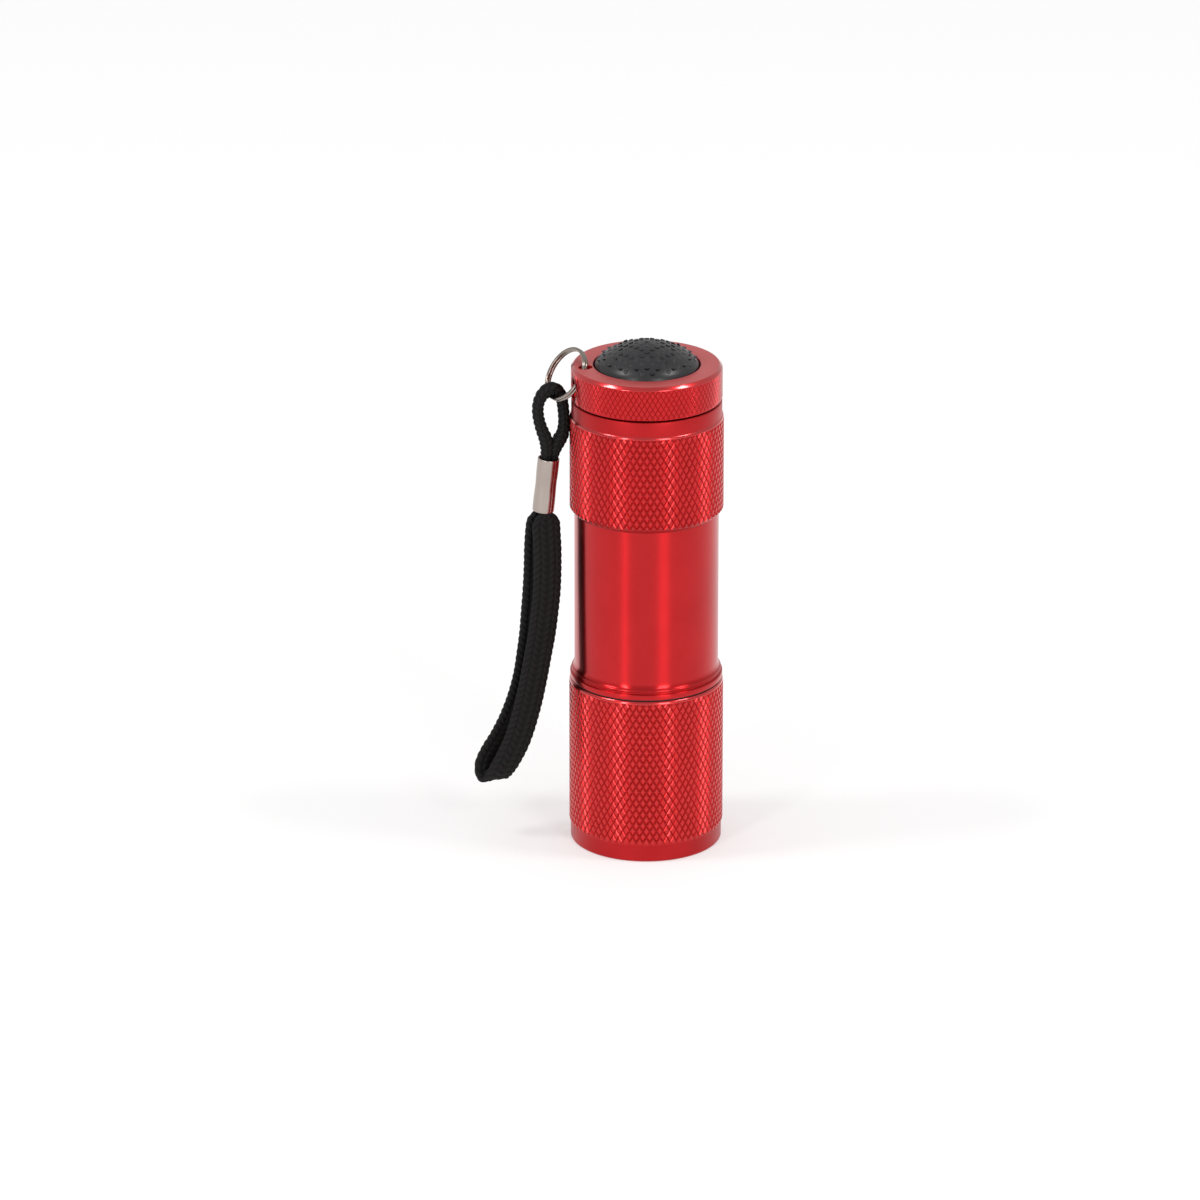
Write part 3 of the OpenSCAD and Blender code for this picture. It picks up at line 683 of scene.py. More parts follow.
def crimped_ferrule():
    length = (FERRULE_TOP - FERRULE_FOOT).length
    lip = FERRULE_LIP
    stations = np.linspace(0.04, 0.96, 25)
    waist = WAIST_DEPTH * np.exp(-(((stations - 0.5) / 0.2) ** 2))
    outer = [(FERRULE_R - w, s * length) for s, w in zip(stations, waist)]
    inner = [(r - FERRULE_WALL, z) for r, z in reversed(outer)]
    top = corner(FERRULE_R - lip, length - lip, lip, 0, 180, 6)
    foot = corner(FERRULE_R - lip, lip, lip, 180, 360, 6)
    made = lathe("ferrule_tube", outer + top + inner + foot, nickel_tube, 128, 40)
    for v in made.data.vertices:
        angle = math.atan2(v.co.y, v.co.x)
        off_seam = (angle - SEAM_AT) / SEAM_REACH
        scale = 1 - SEAM_DEPTH * math.exp(-off_seam * off_seam)
        oval = 1 - SQUEEZE * math.sin(math.pi * v.co.z / length)
        v.co.x *= scale * (2 - oval)
        v.co.y *= scale * oval
    axis = (FERRULE_TOP - FERRULE_FOOT).normalized()
    lean = Vector((0, 0, 1)).rotation_difference(axis).to_matrix().to_4x4()
    made.data.transform(Matrix.Translation(FERRULE_FOOT) @ lean)
    return made


ferrule_tube = crimped_ferrule()
place(ferrule_tube, "lanyard", "nickel_ferrule", "ferrule")

# %% [markdown]
# ## Split ring
# The ring is one wire wound twice in two flat turns that lie side by side, with a short step where it
# crosses from one to the other. Its centre and plane are measured from the frame's own ring.

# %% Split ring
RING_WIRE_R = 0.3 * MM
RING_STEPS = 260
RING_SIDES = 16
RING_START, RING_END = math.radians(30), math.radians(725)
CROSSING_AT, CROSSING_REACH = math.radians(377), math.radians(18)
ring_joint = next(j for j in frame["joints"] if j["name"] == "ring_swing")


def ring_frame():
    """Centre, plane normal and mean radius of the frame's split ring."""
    co = np.array([v.co for v in frame["nodes"]["split_ring"].data.vertices])
    low, high = co.min(axis=0), co.max(axis=0)
    centre = (low + high) / 2
    _, _, directions = np.linalg.svd(co - co.mean(axis=0), full_matrices=False)
    normal = directions[2] * np.sign(directions[2][2])
    spread = co - centre
    flat = spread - np.outer(spread @ normal, normal)
    distance = np.linalg.norm(flat, axis=1)
    return centre, normal, (distance.min() + distance.max()) / 2


def split_ring():
    centre, normal, radius = ring_frame()
    side_a = unit(np.array(ring_joint["pos_m"]) - centre)
    side_a = unit(side_a - (side_a @ normal) * normal)
    side_b = np.cross(normal, side_a)
    turn = np.linspace(RING_START, RING_END, RING_STEPS)
    crossing = (turn - CROSSING_AT) / CROSSING_REACH
    shift = RING_WIRE_R * 0.94 * np.tanh(crossing)
    out = np.outer(np.cos(turn), side_a) + np.outer(np.sin(turn), side_b)
    line = centre + radius * out + np.outer(shift, normal)
    sides = np.linspace(0, 2 * math.pi, RING_SIDES, endpoint=False)
    steps = np.arange(RING_STEPS)
    taper = np.clip(np.minimum(steps, steps[::-1]) / 2, 0, 1)
    wire = RING_WIRE_R * (0.72 + 0.28 * np.sqrt(taper))
    rows = (
        line[:, None, :]
        + (wire[:, None] * np.cos(sides))[:, :, None] * out[:, None, :]
        + (wire[:, None] * np.sin(sides))[:, :, None] * normal[None, None, :]
    )
    print("ring centre", np.round(centre / MM, 2), "radius", round(radius / MM, 2))
    return skin("ring_wire", rows, nickel_ring, 50)


ring_wire = split_ring()
place(ring_wire, "ring", "nickel_wire", "split_ring")

# %% [markdown]
# ## Knurl
# A knurling wheel rolls two families of crossing grooves into the metal and leaves rows of small
# diamonds. Geometry Nodes set one diamond at each place of a staggered grid wrapped round the axis. The
# diamond is a blunt pyramid with flat walls, so that it catches light on its sides and its crest. Every
# tree here ends in real meshes with their finish, because instances are lost in the export.


# %% Tree ending and knurl tree
def end_tree(tree, points, piece, material, out, **turned_by):
    """Sets a piece on every point, makes them real and gives them their finish."""
    inputs = {"Points": points, "Instance": piece, **turned_by}
    made = add(tree, "GeometryNodeInstanceOnPoints", inputs).outputs[0]
    made = add(tree, "GeometryNodeRealizeInstances", {"Geometry": made}).outputs[0]
    made = add(tree, "GeometryNodeSetMaterial", {"Geometry": made, "Material": material}).outputs[0]
    tree.links.new(made, out.inputs["Mesh"])
    print(tree.name, len(tree.nodes), "nodes")


def shape_of(tree, socket):
    return add(tree, "GeometryNodeObjectInfo", {"Object": socket}).outputs["Geometry"]


knurl, knurl_in, knurl_out = new_group(
    "wrapped knurl",
    "GeometryNodeTree",
    [
        ("Around", "NodeSocketInt", 70),
        ("Rows", "NodeSocketInt", 24),
        ("Radius", "NodeSocketFloat", 0.013),
        ("Lowest", "NodeSocketFloat", 0.0),
        ("Row Step", "NodeSocketFloat", 0.001),
        ("Diamond", "NodeSocketObject", None),
        ("Finish", "NodeSocketMaterial", None),
    ],
    [("Mesh", "NodeSocketGeometry")],
)
index = add(knurl, "GeometryNodeInputIndex").outputs[0]
total = math_node(knurl, "MULTIPLY", knurl_in["Around"], knurl_in["Rows"])
row = math_node(knurl, "FLOOR", math_node(knurl, "DIVIDE", index, knurl_in["Around"]))
half_step = math_node(knurl, "MULTIPLY", math_node(knurl, "MODULO", row, 2.0), 0.5)
turn_share = math_node(
    knurl, "DIVIDE", math_node(knurl, "ADD", index, half_step), knurl_in["Around"]
)
angle = math_node(knurl, "MULTIPLY", turn_share, 2 * math.pi)
spot = add(
    knurl,
    "ShaderNodeCombineXYZ",
    {
        0: math_node(knurl, "MULTIPLY", math_node(knurl, "COSINE", angle), knurl_in["Radius"]),
        1: math_node(knurl, "MULTIPLY", math_node(knurl, "SINE", angle), knurl_in["Radius"]),
        2: math_node(
            knurl, "ADD", math_node(knurl, "MULTIPLY", row, knurl_in["Row Step"]), knurl_in["Lowest"]
        ),
    },
).outputs[0]
points = add(knurl, "GeometryNodeMeshLine", {"Count": total}).outputs[0]
points = add(knurl, "GeometryNodeSetPosition", {"Geometry": points, "Position": spot}).outputs[0]
facing = add(knurl, "ShaderNodeCombineXYZ", {2: angle}).outputs[0]
end_tree(
    knurl, points, shape_of(knurl, knurl_in["Diamond"]), knurl_in["Finish"], knurl_out, Rotation=facing
)


# %% Running a tree
def make_plain(made):
    """The evaluated mesh takes the place of the object's own, and the modifiers go."""
    bpy.context.view_layer.update()
    depsgraph = bpy.context.evaluated_depsgraph_get()
    plain = bpy.data.meshes.new_from_object(made.evaluated_get(depsgraph), depsgraph=depsgraph)
    made.modifiers.clear()
    made.data = plain


def run_tree(name, tree, values):
    """Runs a Geometry Nodes tree with these inputs and returns the result as a plain mesh object."""
    host = new_object(name, bpy.data.meshes.new(name))
    modifier = host.modifiers.new("build", "NODES")
    modifier.node_group = tree
    for item in tree.interface.items_tree:
        if item.in_out == "INPUT" and item.name in values:
            modifier[item.identifier] = values[item.name]
    make_plain(host)
    return host


print("trees can be run")


# %% Diamonds and bands
def diamond(half_wide, half_high, levels):
    """A blunt pyramid on a diamond base; levels are (height, share of the base)."""
    rows = np.array([
        [
            (height, share * half_wide, 0),
            (height, 0, share * half_high),
            (height, -share * half_wide, 0),
            (height, 0, -share * half_high),
        ]
        for height, share in levels
    ])
    return skin("diamond", rows, red_knurled, 0)


def knurl_band(name, crest, depth, low, high, around, tall, levels, chamfers, sunk=0.06 * MM):
    """Knurled band between two heights; chamfers are the sizes of the cuts at its low and high ends."""
    root = crest - depth
    half_wide = math.pi * root / around
    half_high = tall / 2
    tip = diamond(half_wide, half_high, [(-sunk, 1.0)] + [(depth * h, s) for h, s in levels])
    rows = int((high - low) / half_high) + 3
    band = run_tree(
        name,
        knurl,
        {
            "Around": around, "Rows": rows, "Radius": root, "Lowest": low - half_high * 0.5,
            "Row Step": half_high, "Diamond": tip, "Finish": red_knurled,
        },
    )
    bpy.data.objects.remove(tip)
    form = bmesh.new()
    form.from_mesh(band.data)
    for height, direction in ((low, -1), (high, 1)):
        everything = form.verts[:] + form.edges[:] + form.faces[:]
        cut = bmesh.ops.bisect_plane(
            form, geom=everything, plane_co=(0, 0, height), plane_no=(0, 0, direction), clear_outer=True
        )
        cut_edges = [e for e in cut["geom_cut"] if isinstance(e, bmesh.types.BMEdge)]
        bmesh.ops.edgeloop_fill(form, edges=cut_edges)
    for v in form.verts:
        radius = math.hypot(v.co.x, v.co.y)
        from_ends = min(v.co.z - low - chamfers[0], high - chamfers[1] - v.co.z, 0)
        limit = crest + from_ends
        if radius > limit:
            v.co.x *= limit / radius
            v.co.y *= limit / radius
    form.to_mesh(band.data)
    form.free()
    dress(band, red_knurled)
    settle(band, 22)
    print(name, rows, "rows of", around)
    return band


COARSE = [(0.0, 0.97), (0.28, 0.91), (0.95, 0.57), (1.0, 0.5)]
FINE = [(0.0, 0.95), (1.0, 0.82)]
KNURL_AROUND = 70
KNURL_TALL = 2.11 * MM
KNURL_DEPTH = 0.22 * MM
print("knurl", KNURL_AROUND, "round")

# %% [markdown]
# ## Head
# The head is a sleeve with a lip at its open end. Its front band is left smooth, and the knurl above it
# runs into a turned chamfer at the seam.

# %% Head sizes
_, head_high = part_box("head")
HEAD_R = head_high.x
HEAD_BORE_R = 12.2 * MM
LIP_OPEN_R = 11.3 * MM
LIP_T = 1.6 * MM
LIP_BAND_R = 13.25 * MM
LIP_BAND_TOP = 3.1 * MM
EDGE_ROUND = 0.56 * MM
EDGE_INSET = 0.02 * MM
EDGE_TALL = EDGE_ROUND * math.sin(math.radians(60))
LIP_EDGE = 0.45 * MM
head_root = HEAD_R - KNURL_DEPTH
print("head", round(HEAD_R / MM, 2), "mm radius")

# %% Head
head_profile = (
    corner(LIP_BAND_R - LIP_EDGE, LIP_EDGE, LIP_EDGE, -90, 0, 6)
    + [
        (LIP_BAND_R, LIP_BAND_TOP),
        (head_root, LIP_BAND_TOP + 0.12 * MM),
        (head_root, head_high.z - EDGE_TALL - 0.1 * MM),
    ]
    + corner(HEAD_R - EDGE_INSET - EDGE_ROUND, head_high.z - EDGE_TALL, EDGE_ROUND, 0, 60, 6)
    + [
        (HEAD_BORE_R, head_high.z),
        (HEAD_BORE_R, LIP_T),
        (LIP_OPEN_R, LIP_T),
    ]
    + corner(LIP_OPEN_R + 0.2 * MM, 0.2 * MM, 0.2 * MM, 180, 270, 3)
)
head_turned = lathe("head_turned", head_profile, red_knurled)
paint(head_turned, red_satin, -MM, LIP_BAND_TOP + 0.06 * MM)
paint(head_turned, red_edge, head_high.z - EDGE_TALL, head_high.z, lambda face: face.normal.z < 0.95)
head_shell = join(
    "head_shell",
    [
        head_turned,
        knurl_band(
            "head_knurl", HEAD_R, KNURL_DEPTH, LIP_BAND_TOP + 0.1 * MM, head_high.z - EDGE_TALL,
            KNURL_AROUND, KNURL_TALL, COARSE, (0.15 * MM, 0.05 * MM),
        ),
    ],
)
place(head_shell, "torch", "red_anodised", "head")

# %% [markdown]
# ## Body
# The body is one turned tube: a threaded spigot inside the head, a collar with a bead and a cove, the
# plain tube, the knurled grip and the smooth ring that the tail cap closes on.

# %% Body sizes
tube_low, tube_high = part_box("body_tube")
GRIP_R = tube_high.x
BODY_TOP = tube_high.z
BORE_R = 11.45 * MM
TUBE_R = 12.58 * MM
SPIGOT_R = 12.15 * MM
BODY_Z = 30.4 * MM
COLLAR_R = 13.35 * MM
GROOVE_R = 13.1 * MM
GRIP_Z = 61.1 * MM
RING_LAND_Z = 78.85 * MM
RING_LAND_R = 13.1 * MM
TAIL_BORE_R = 12.15 * MM
TAIL_BORE_Z = 73.3 * MM
GRIP_CHAMFER = 0.82 * MM
COVE_R = 1.15 * MM
COVE_Z = BODY_Z + 1.75 * MM
grip_root = GRIP_R - KNURL_DEPTH
print("tube", round(TUBE_R / MM, 2), "mm radius, grip", round(GRIP_R / MM, 2))

# %% Body
body_profile = (
    [(BORE_R, tube_low.z), (SPIGOT_R, tube_low.z), (SPIGOT_R, BODY_Z)]
    + corner(COLLAR_R - 0.12 * MM, BODY_Z + 0.12 * MM, 0.12 * MM, -90, 0, 3)
    + corner(COLLAR_R - 0.2 * MM, BODY_Z + 0.8 * MM, 0.2 * MM, 0, 90, 4)
    + [(GROOVE_R - 0.1 * MM, BODY_Z + 1.02 * MM), (GROOVE_R - 0.1 * MM, BODY_Z + 1.25 * MM)]
    + corner(GROOVE_R - 0.2 * MM, BODY_Z + 1.5 * MM, 0.2 * MM, -80, 60, 6)
    + [
        (TUBE_R + COVE_R * 0.42 * (1 - math.sin(a)), COVE_Z + COVE_R * (1 - math.cos(a)))
        for a in np.radians(np.linspace(8, 90, 9))
    ]
    + [
        (TUBE_R, GRIP_Z),
        (grip_root, GRIP_Z + grip_root - TUBE_R),
        (grip_root, RING_LAND_Z - EDGE_TALL - 0.1 * MM),
    ]
    + corner(GRIP_R - EDGE_INSET - EDGE_ROUND, RING_LAND_Z - EDGE_TALL, EDGE_ROUND, 0, 60, 6)
    + [(RING_LAND_R, RING_LAND_Z)]
    + corner(RING_LAND_R - 0.25 * MM, BODY_TOP - 0.25 * MM, 0.25 * MM, 0, 90, 4)
    + [(TAIL_BORE_R, BODY_TOP), (TAIL_BORE_R, TAIL_BORE_Z), (BORE_R, TAIL_BORE_Z)]
)
body_turned = lathe("body_turned", body_profile, red_smooth)
paint(body_turned, red_knurled, GRIP_Z, RING_LAND_Z - EDGE_TALL)
paint(body_turned, red_edge, RING_LAND_Z - EDGE_TALL, RING_LAND_Z)
paint(body_turned, red_satin, RING_LAND_Z, BODY_TOP + MM)
body_shell = join(
    "body_shell",
    [
        body_turned,
        knurl_band(
            "grip_knurl", GRIP_R, KNURL_DEPTH, GRIP_Z + 0.3 * MM, RING_LAND_Z - EDGE_TALL,
            KNURL_AROUND, KNURL_TALL, COARSE, (GRIP_CHAMFER - 0.3 * MM, 0.05 * MM),
        ),
    ],
)
place(body_shell, "torch", "red_anodised", "body_tube")

# %% [markdown]
# ## Tail cap
# The cap's side has a finer, shallow knurl of flat diamonds, its top edge is a broad chamfer, and a hole
# leans through its rim for the split ring. Its skirt carries a real helical thread, which shows when the
# cap is unscrewed.

# %% Tail cap sizes
cap_low, cap_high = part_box("tail_cap")
CAP_R = cap_high.x
CAP_TOP = cap_high.z
SKIRT_Z = cap_low.z
CAP_Z = 81.8 * MM
CAP_KNURL_DEPTH = 0.085 * MM
CAP_CHAMFER = 0.62 * MM
CAP_ROUND = 0.22 * MM
SKIRT_R = 11.6 * MM
CAP_BORE_R = 10.3 * MM
BUTTON_BORE_R = 9.3 * MM
SHOULDER_Z = 85.4 * MM
O_RING_Z = 80.1 * MM
O_RING_R = 0.45 * MM
O_RING_SEAT = O_RING_R + 0.12 * MM
RING_HOLE_R = 1.1 * MM
cap_root = CAP_R - CAP_KNURL_DEPTH
print("cap", round(CAP_R / MM, 2), "mm radius, top at", round(CAP_TOP / MM, 2))

# %% Tail cap profile
cap_profile = (
    [
        (CAP_BORE_R, SKIRT_Z),
        (SKIRT_R - 0.3 * MM, SKIRT_Z),
        (SKIRT_R, SKIRT_Z + 0.3 * MM),
        (SKIRT_R, O_RING_Z - O_RING_SEAT),
        (SKIRT_R - O_RING_R, O_RING_Z - O_RING_SEAT),
        (SKIRT_R - O_RING_R, O_RING_Z + O_RING_SEAT),
        (SKIRT_R, O_RING_Z + O_RING_SEAT),
        (SKIRT_R, CAP_Z),
    ]
    + corner(cap_root - 0.12 * MM, CAP_Z + 0.12 * MM, 0.12 * MM, -90, 0, 3)
    + [(cap_root, CAP_TOP - CAP_CHAMFER - 0.12 * MM)]
    + corner(CAP_R - CAP_ROUND, CAP_TOP - CAP_CHAMFER, CAP_ROUND, 0, 45, 4)
    + corner(CAP_R - CAP_CHAMFER, CAP_TOP - CAP_ROUND, CAP_ROUND, 45, 90, 4)
    + corner(BUTTON_BORE_R + 0.15 * MM, CAP_TOP - 0.15 * MM, 0.15 * MM, 90, 180, 3)
    + [(BUTTON_BORE_R, SHOULDER_Z), (CAP_BORE_R, SHOULDER_Z)]
)
print(len(cap_profile), "points in the cap's profile")


# %% Thread and drill
def thread(radius, crest, low, pitch, turns, per_turn=48):
    """One helical ridge on the skirt, which fades in and out over a quarter turn at its ends."""
    steps = int(turns * per_turn) + 1
    turn = np.linspace(0, 2 * math.pi * turns, steps)
    fade = np.clip(np.minimum(turn, turn[-1] - turn) / (math.pi / 2), 0.02, 1)
    rise = low + pitch * turn / (2 * math.pi)
    section = [(-0.05 * MM, 0.0), (crest - radius, 0.35), (crest - radius, 0.5), (-0.05 * MM, 0.85)]
    rows = []
    for out, up in section:
        reach = radius + (out * fade if out > 0 else out)
        rows.append(np.stack([reach * np.cos(turn), reach * np.sin(turn), rise + up * pitch], axis=1))
    return skin("cap_thread", np.stack(rows, axis=1), red_smooth, 30)


def drill(made, place_at, axis, radius):
    """Cuts a round hole along an axis, as the boolean modifier does, and keeps the plain mesh."""
    turn = Vector((0, 0, 1)).rotation_difference(Vector(axis)).to_matrix().to_4x4()
    form = bmesh.new()
    bmesh.ops.create_cone(
        form, cap_ends=True, segments=40, radius1=radius, radius2=radius, depth=16 * MM,
        matrix=Matrix.Translation(place_at) @ turn,
    )
    bit_mesh = bpy.data.meshes.new("bit")
    form.to_mesh(bit_mesh)
    form.free()
    bit = new_object("bit", bit_mesh)
    cut = made.modifiers.new("drill", "BOOLEAN")
    cut.operation = "DIFFERENCE"
    cut.solver = "EXACT"
    cut.object = bit
    make_plain(made)
    bpy.data.objects.remove(bit)


hole_at = Vector(ring_joint["pos_m"])
hole_axis = Vector(ring_joint["axis"])


def clear_hole(made):
    """Takes away the diamonds that the ring's hole would cut, and closes what is left open."""
    form = bmesh.new()
    form.from_mesh(made.data)
    near = [
        v for v in form.verts
        if (v.co - hole_at).cross(hole_axis).length < RING_HOLE_R + 0.12 * MM and v.co.x < 0
    ]
    hit = {v for seed in near for f in seed.link_faces for v in f.verts}
    bmesh.ops.delete(form, geom=list(hit), context="VERTS")
    bmesh.ops.holes_fill(form, edges=[e for e in form.edges if e.is_boundary])
    form.to_mesh(made.data)
    form.free()


print("ring hole at", tuple(round(c / MM, 2) for c in hole_at))

# %% Tail cap
cap_turned = lathe("cap_turned", cap_profile, red_smooth)
just_below = CAP_TOP - 0.001 * MM
paint(cap_turned, red_blasted, just_below, CAP_TOP + MM)
paint(
    cap_turned, red_edge, CAP_TOP - CAP_CHAMFER - 0.1 * MM, just_below,
    lambda face: math.hypot(face.center.x, face.center.y) > CAP_R - 2 * CAP_CHAMFER,
)
drill(cap_turned, hole_at, hole_axis, RING_HOLE_R)
cap_knurl = knurl_band(
    "cap_knurl", CAP_R, CAP_KNURL_DEPTH, CAP_Z + 0.12 * MM, CAP_TOP - CAP_CHAMFER - 0.06 * MM,
    88, 1.62 * MM, FINE, (0.05 * MM, 0.02 * MM), sunk=0.05 * MM,
)
clear_hole(cap_knurl)
cap_shell = join(
    "cap_shell",
    [cap_turned, cap_knurl, thread(SKIRT_R, 12.05 * MM, SKIRT_Z + 0.6 * MM, 1.0 * MM, 3.9)],
)
place(cap_shell, "tail_cap", "red_anodised", "tail_cap")

# %% [markdown]
# ## Button
# The button is moulded rubber: a rounded cone with a smooth rim and small blunt grip points. The points
# are laid on a diamond grid in plan and dropped onto the cone by a ray, so each stands square to it.

# %% Button body
boot_low, boot_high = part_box("switch_boot")
BOOT_FLANGE_Z = boot_low.z
BOOT_FLANGE_R = boot_high.x
BOOT_R = 9.15 * MM
BOOT_RISE = boot_high.z - CAP_TOP
BOOT_EDGE_DROP = 0.6 * MM
BOOT_INNER_R = BOOT_R - 2.4 * MM
BOOT_MOUTH_R = 7.3 * MM
GRIP_POINT_H = 0.11 * MM
GRIP_POINT_HALF = 0.4 * MM


def cone_line(radius, rise, steps=26):
    """The button's outline from its edge to its top, as (radius, height)."""
    turn = np.linspace(0, math.pi / 2, steps)
    lift = 0.72 * np.sin(turn) + 0.28 * (1 - np.cos(turn))
    return [
        (radius * math.cos(a), CAP_TOP - BOOT_EDGE_DROP + (rise + BOOT_EDGE_DROP) * h)
        for a, h in zip(turn, lift)
    ]


outer_line = cone_line(BOOT_R, BOOT_RISE - GRIP_POINT_H * 0.8)
inner_line = cone_line(BOOT_INNER_R, BOOT_RISE - 1.3 * MM)
boot_profile = (
    [
        (BOOT_MOUTH_R, BOOT_FLANGE_Z),
        (BOOT_FLANGE_R, BOOT_FLANGE_Z),
        (BOOT_FLANGE_R, SHOULDER_Z - 0.05 * MM),
        (BOOT_R, SHOULDER_Z),
    ]
    + outer_line[:-1]
    + [(0, outer_line[-1][1]), (0, inner_line[-1][1])]
    + inner_line[-2::-1]
    + [(BOOT_INNER_R, SHOULDER_Z + 0.1 * MM), (BOOT_MOUTH_R, SHOULDER_Z + 0.1 * MM)]
)
boot_turned = lathe("boot_turned", boot_profile, button_rubber, 144, 50)
print("button rises", round(BOOT_RISE / MM, 2), "mm")

# %% Grip point tree
grip, grip_in, grip_out = new_group(
    "grip points",
    "GeometryNodeTree",
    [
        ("Surface", "NodeSocketObject", None),
        ("Point", "NodeSocketObject", None),
        ("Reach", "NodeSocketFloat", 0.0078),
        ("Per Side", "NodeSocketInt", 13),
        ("Pitch", "NodeSocketFloat", 0.0013),
        ("Above", "NodeSocketFloat", 0.1),
        ("Finish", "NodeSocketMaterial", None),
    ],
    [("Mesh", "NodeSocketGeometry")],
)
side = math_node(
    grip, "MULTIPLY", math_node(grip, "SUBTRACT", grip_in["Per Side"], 1.0), grip_in["Pitch"]
)
lattice = add(
    grip,
    "GeometryNodeMeshGrid",
    {
        "Size X": side,
        "Size Y": side,
        "Vertices X": grip_in["Per Side"],
        "Vertices Y": grip_in["Per Side"],
    },
).outputs[0]
up = add(grip, "ShaderNodeCombineXYZ", {2: grip_in["Above"]}).outputs[0]
lattice = add(
    grip,
    "GeometryNodeTransform",
    {"Geometry": lattice, "Translation": up, "Rotation": (0, 0, math.radians(45))},
).outputs[0]
where = add(grip, "GeometryNodeInputPosition").outputs[0]
too_far = add(
    grip, "FunctionNodeCompare", {0: axis_distance(grip, where), 1: grip_in["Reach"]},
    data_type="FLOAT", operation="GREATER_THAN",
).outputs[0]
lattice = add(
    grip, "GeometryNodeDeleteGeometry", {"Geometry": lattice, "Selection": too_far}
).outputs[0]
surface = shape_of(grip, grip_in["Surface"])
down = {"Target Geometry": surface, "Ray Direction": (0, 0, -1), "Ray Length": 1.0}
ray = add(grip, "GeometryNodeRaycast", down)
on_cone = add(
    grip,
    "GeometryNodeSetPosition",
    {"Geometry": lattice, "Position": ray.outputs["Hit Position"]},
).outputs[0]
standing = add(
    grip, "FunctionNodeAlignRotationToVector", {"Vector": ray.outputs["Hit Normal"]}, axis="Z"
).outputs[0]
end_tree(
    grip, on_cone, shape_of(grip, grip_in["Point"]), grip_in["Finish"], grip_out, Rotation=standing
)


# %% Grip points on the button
def grip_point(half, height):
    """A low blunt point, nearly square in plan, sunk a little into the rubber."""
    levels = [
        (-0.12 * MM, 1.02), (0.0, 1.0), (0.45 * height, 0.84), (0.8 * height, 0.55), (height, 0.12)
    ]
    turn = np.linspace(0, 2 * math.pi, 8, endpoint=False)
    square = np.maximum(np.abs(np.cos(turn)), np.abs(np.sin(turn)))
    blunt = 1 / (0.35 * square + 0.65 * (np.abs(np.cos(turn)) + np.abs(np.sin(turn))) / 1.2)
    rows = np.array([
        [(half * s * b * math.cos(a), half * s * b * math.sin(a), z) for a, b in zip(turn, blunt)]
        for z, s in levels
    ])
    return skin("grip_point", rows, button_rubber, 60)


tip = grip_point(GRIP_POINT_HALF, GRIP_POINT_H)
points_each = len(tip.data.vertices)
grip_points = run_tree(
    "grip_points",
    grip,
    {
        "Surface": boot_turned, "Point": tip, "Reach": 8.35 * MM, "Per Side": 13, "Pitch": 1.3 * MM,
        "Above": 0.1, "Finish": button_rubber,
    },
)
bpy.data.objects.remove(tip)
print("grip points", len(grip_points.data.vertices) // points_each)
boot_shell = join("boot_shell", [boot_turned, grip_points], 60)
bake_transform(boot_shell)
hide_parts("switch_boot")
print(boot_shell.name, len(boot_shell.data.polygons), "faces")

# %% [markdown]
# ## Parts that keep their frame shape
# The lamp, the cells and the switch are right as the frame has them, so they only get their finishes.

# %% Finishes of the inner parts
LAMP_NAMES = [f"led_{count}" for count in range(1, 10)]
CELL_SPRINGS = ["cell_spring_1", "cell_spring_2", "cell_spring_3"]
INNER = {
    rubber: ["lens_gasket", "seam_seal", "tail_o_ring"],
    clear_lens: ["lens"],
    mirror: ["reflector"],
    board_green: ["led_board"],
    gold: [
        "head_spring", "front_terminal", "rear_terminal", "front_plates", "rear_plates", "tail_spring",
        "switch_retainer", "switch_base",
    ],
    black_plastic: ["battery_carrier"],
    white_plastic: ["switch_housing", "switch_cam", "switch_plunger"],
    steel: CELL_SPRINGS,
    led_epoxy: LAMP_NAMES,
    cell_jacket: ["cell_1", "cell_2", "cell_3"],
}
for material, names in INNER.items():
    for name in names:
        dress(frame["nodes"][name], material)
print(sum(len(n) for n in INNER.values()), "frame parts finished")

# %% [markdown]
# ## Inside the lamps and the switch
# A lamp's clear dome shows a small bright cup on a post, filled with yellow phosphor. Nine of each stand
# on the board, so Geometry Nodes set one in every lamp. The switch's return spring is pressed flatter as
# the button goes down; here it is a copy of the frame's spring that moves with the spring's body.

# %% Lamp core tree
cores, cores_in, cores_out = new_group(
    "one in each lamp",
    "GeometryNodeTree",
    [
        ("Marks", "NodeSocketObject", None),
        ("Core", "NodeSocketObject", None),
        ("Finish", "NodeSocketMaterial", None),
    ],
    [("Mesh", "NodeSocketGeometry")],
)
end_tree(
    cores, shape_of(cores, cores_in["Marks"]), shape_of(cores, cores_in["Core"]), cores_in["Finish"],
    cores_out,
)

# %% Cups and phosphor
phosphor = finish("led_phosphor", (0.85, 0.72, 0.08), (0.8, 0.62, 0.05), 0.55, 3000.0, 0.2)
lamp_marks = bpy.data.meshes.new("lamp_marks")
lamp_boxes = [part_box(name) for name in LAMP_NAMES]
lamp_marks.from_pydata([tuple((low + high) / 2) for low, high in lamp_boxes], [], [])
marks_object = new_object("lamp_marks", lamp_marks)
CORE_SIDES = 14


def lamp_core(name, outline, material):
    """A small turned shape of (radius, height), with its mouth downwards as the lamps stand."""
    turn = np.linspace(0, 2 * math.pi, CORE_SIDES, endpoint=False)
    rows = np.array([[(r * math.cos(a), r * math.sin(a), -z) for a in turn] for r, z in outline]) * MM
    return skin(name, rows, material, 35)


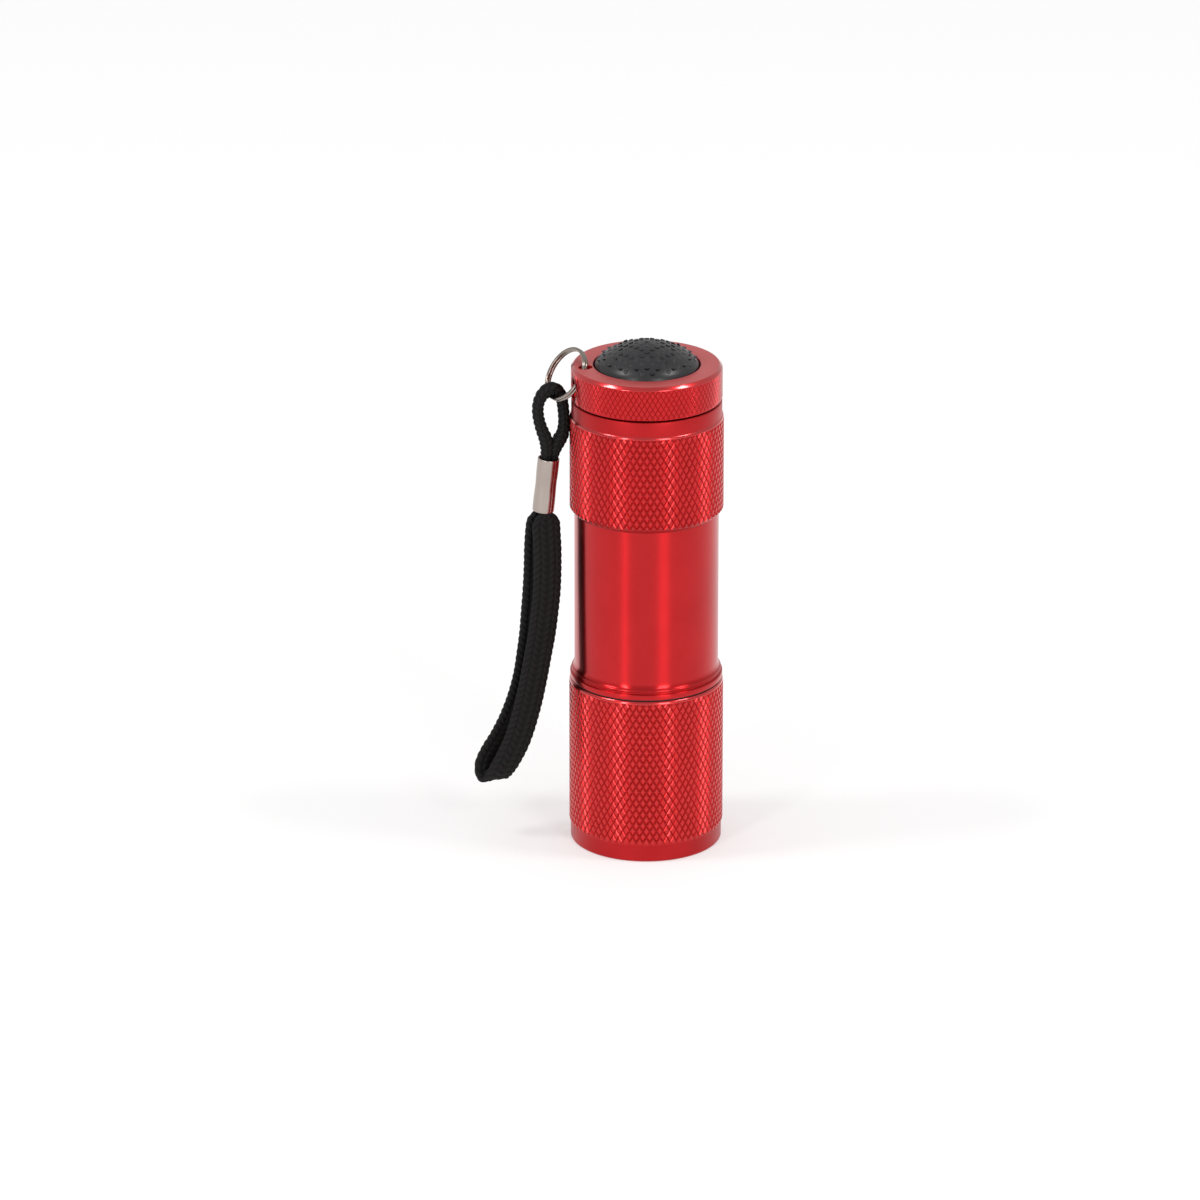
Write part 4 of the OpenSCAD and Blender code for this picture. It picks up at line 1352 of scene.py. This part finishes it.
CUP = [(0.35, -3.2), (0.35, -0.6), (0.55, -0.4), (0.95, 0.45), (0.8, 0.45), (0.5, -0.05)]
FILL = [(0.5, -0.02), (0.78, 0.4), (0.3, 0.5)]
for name, outline, material, slot in (
    ("led_cups", CUP, steel, "spring_steel"),
    ("led_phosphor", FILL, phosphor, "white_plastic"),
):
    tip = lamp_core("core", outline, material)
    made = run_tree(name, cores, {"Marks": marks_object, "Core": tip, "Finish": material})
    bpy.data.objects.remove(tip)
    dress(made, material)
    settle(made, 35)
    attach(made, "torch")
    print(name, len(made.data.polygons), "faces")
bpy.data.objects.remove(marks_object)

# %% Switch spring
switch_coil = new_object("switch_coil", frame["nodes"]["switch_spring"].data.copy())
dress(switch_coil, steel)
settle(switch_coil, 40)
bodies = frame["record"]["behaviour"]["bodies"]
spring_body = next(body for body, names in bodies.items() if "switch_spring" in names)
place(switch_coil, spring_body, "spring_steel", "switch_spring")
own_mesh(switch_coil)

# %% [markdown]
# ## Floor and light
# A white floor and a white surround, as in a light tent. Two tall soft boxes stand to the left and right
# of the camera, and their reflections are the bright upright bands on the tube. Two small ones hang
# higher at the sides and light the cap's top and edges.

# %% Floor
floor_mesh = bpy.data.meshes.new("floor")
floor_mesh.from_pydata([(-4, -4, 0), (4, -4, 0), (4, 4, 0), (-4, 4, 0)], [], [(0, 1, 2, 3)])
floor = new_object("floor", floor_mesh)
paper = bpy.data.materials.new("white_paper")
paper.use_nodes = True
paper_shader = paper.node_tree.nodes["Principled BSDF"].inputs
paper_shader["Base Color"].default_value = (0.66, 0.66, 0.66, 1)
paper_shader["Roughness"].default_value = 0.9
paper_shader["Emission Color"].default_value = (1, 1, 1, 1)
paper_shader["Emission Strength"].default_value = 0.36
floor_mesh.materials.append(paper)
print("floor laid")

# %% Lights
world = bpy.data.worlds.new("tent")
world.use_nodes = True
world.node_tree.nodes["Background"].inputs["Color"].default_value = (1, 1, 1, 1)
world.node_tree.nodes["Background"].inputs["Strength"].default_value = 0.62
scene.world = world


def soft_box(name, azimuth, elevation, distance, width, height, power):
    """An area light that faces the torch; azimuth 0 is the camera's side, positive to its right."""
    data = bpy.data.lights.new(name, "AREA")
    data.shape = "RECTANGLE"
    data.size = width
    data.size_y = height
    data.energy = power
    box = new_object(name, data)
    a, e = math.radians(azimuth), math.radians(elevation)
    toward = Vector((math.sin(a) * math.cos(e), -math.cos(a) * math.cos(e), math.sin(e)))
    box.location = Vector((0, 0, 50 * MM)) + distance * toward
    box.rotation_euler = toward.to_track_quat("Z", "Y").to_euler()
    print(name, power, "W")


soft_box("left_box", -34, 20, 1.6, 0.22, 1.2, 5.4)
soft_box("right_box", 27, 20, 1.6, 0.42, 1.2, 7)
soft_box("left_top_box", -80, 54, 1.6, 0.3, 0.3, 4.7)
soft_box("right_top_box", 78, 54, 1.6, 0.3, 0.3, 4.7)
scene.view_settings.view_transform = "Standard"
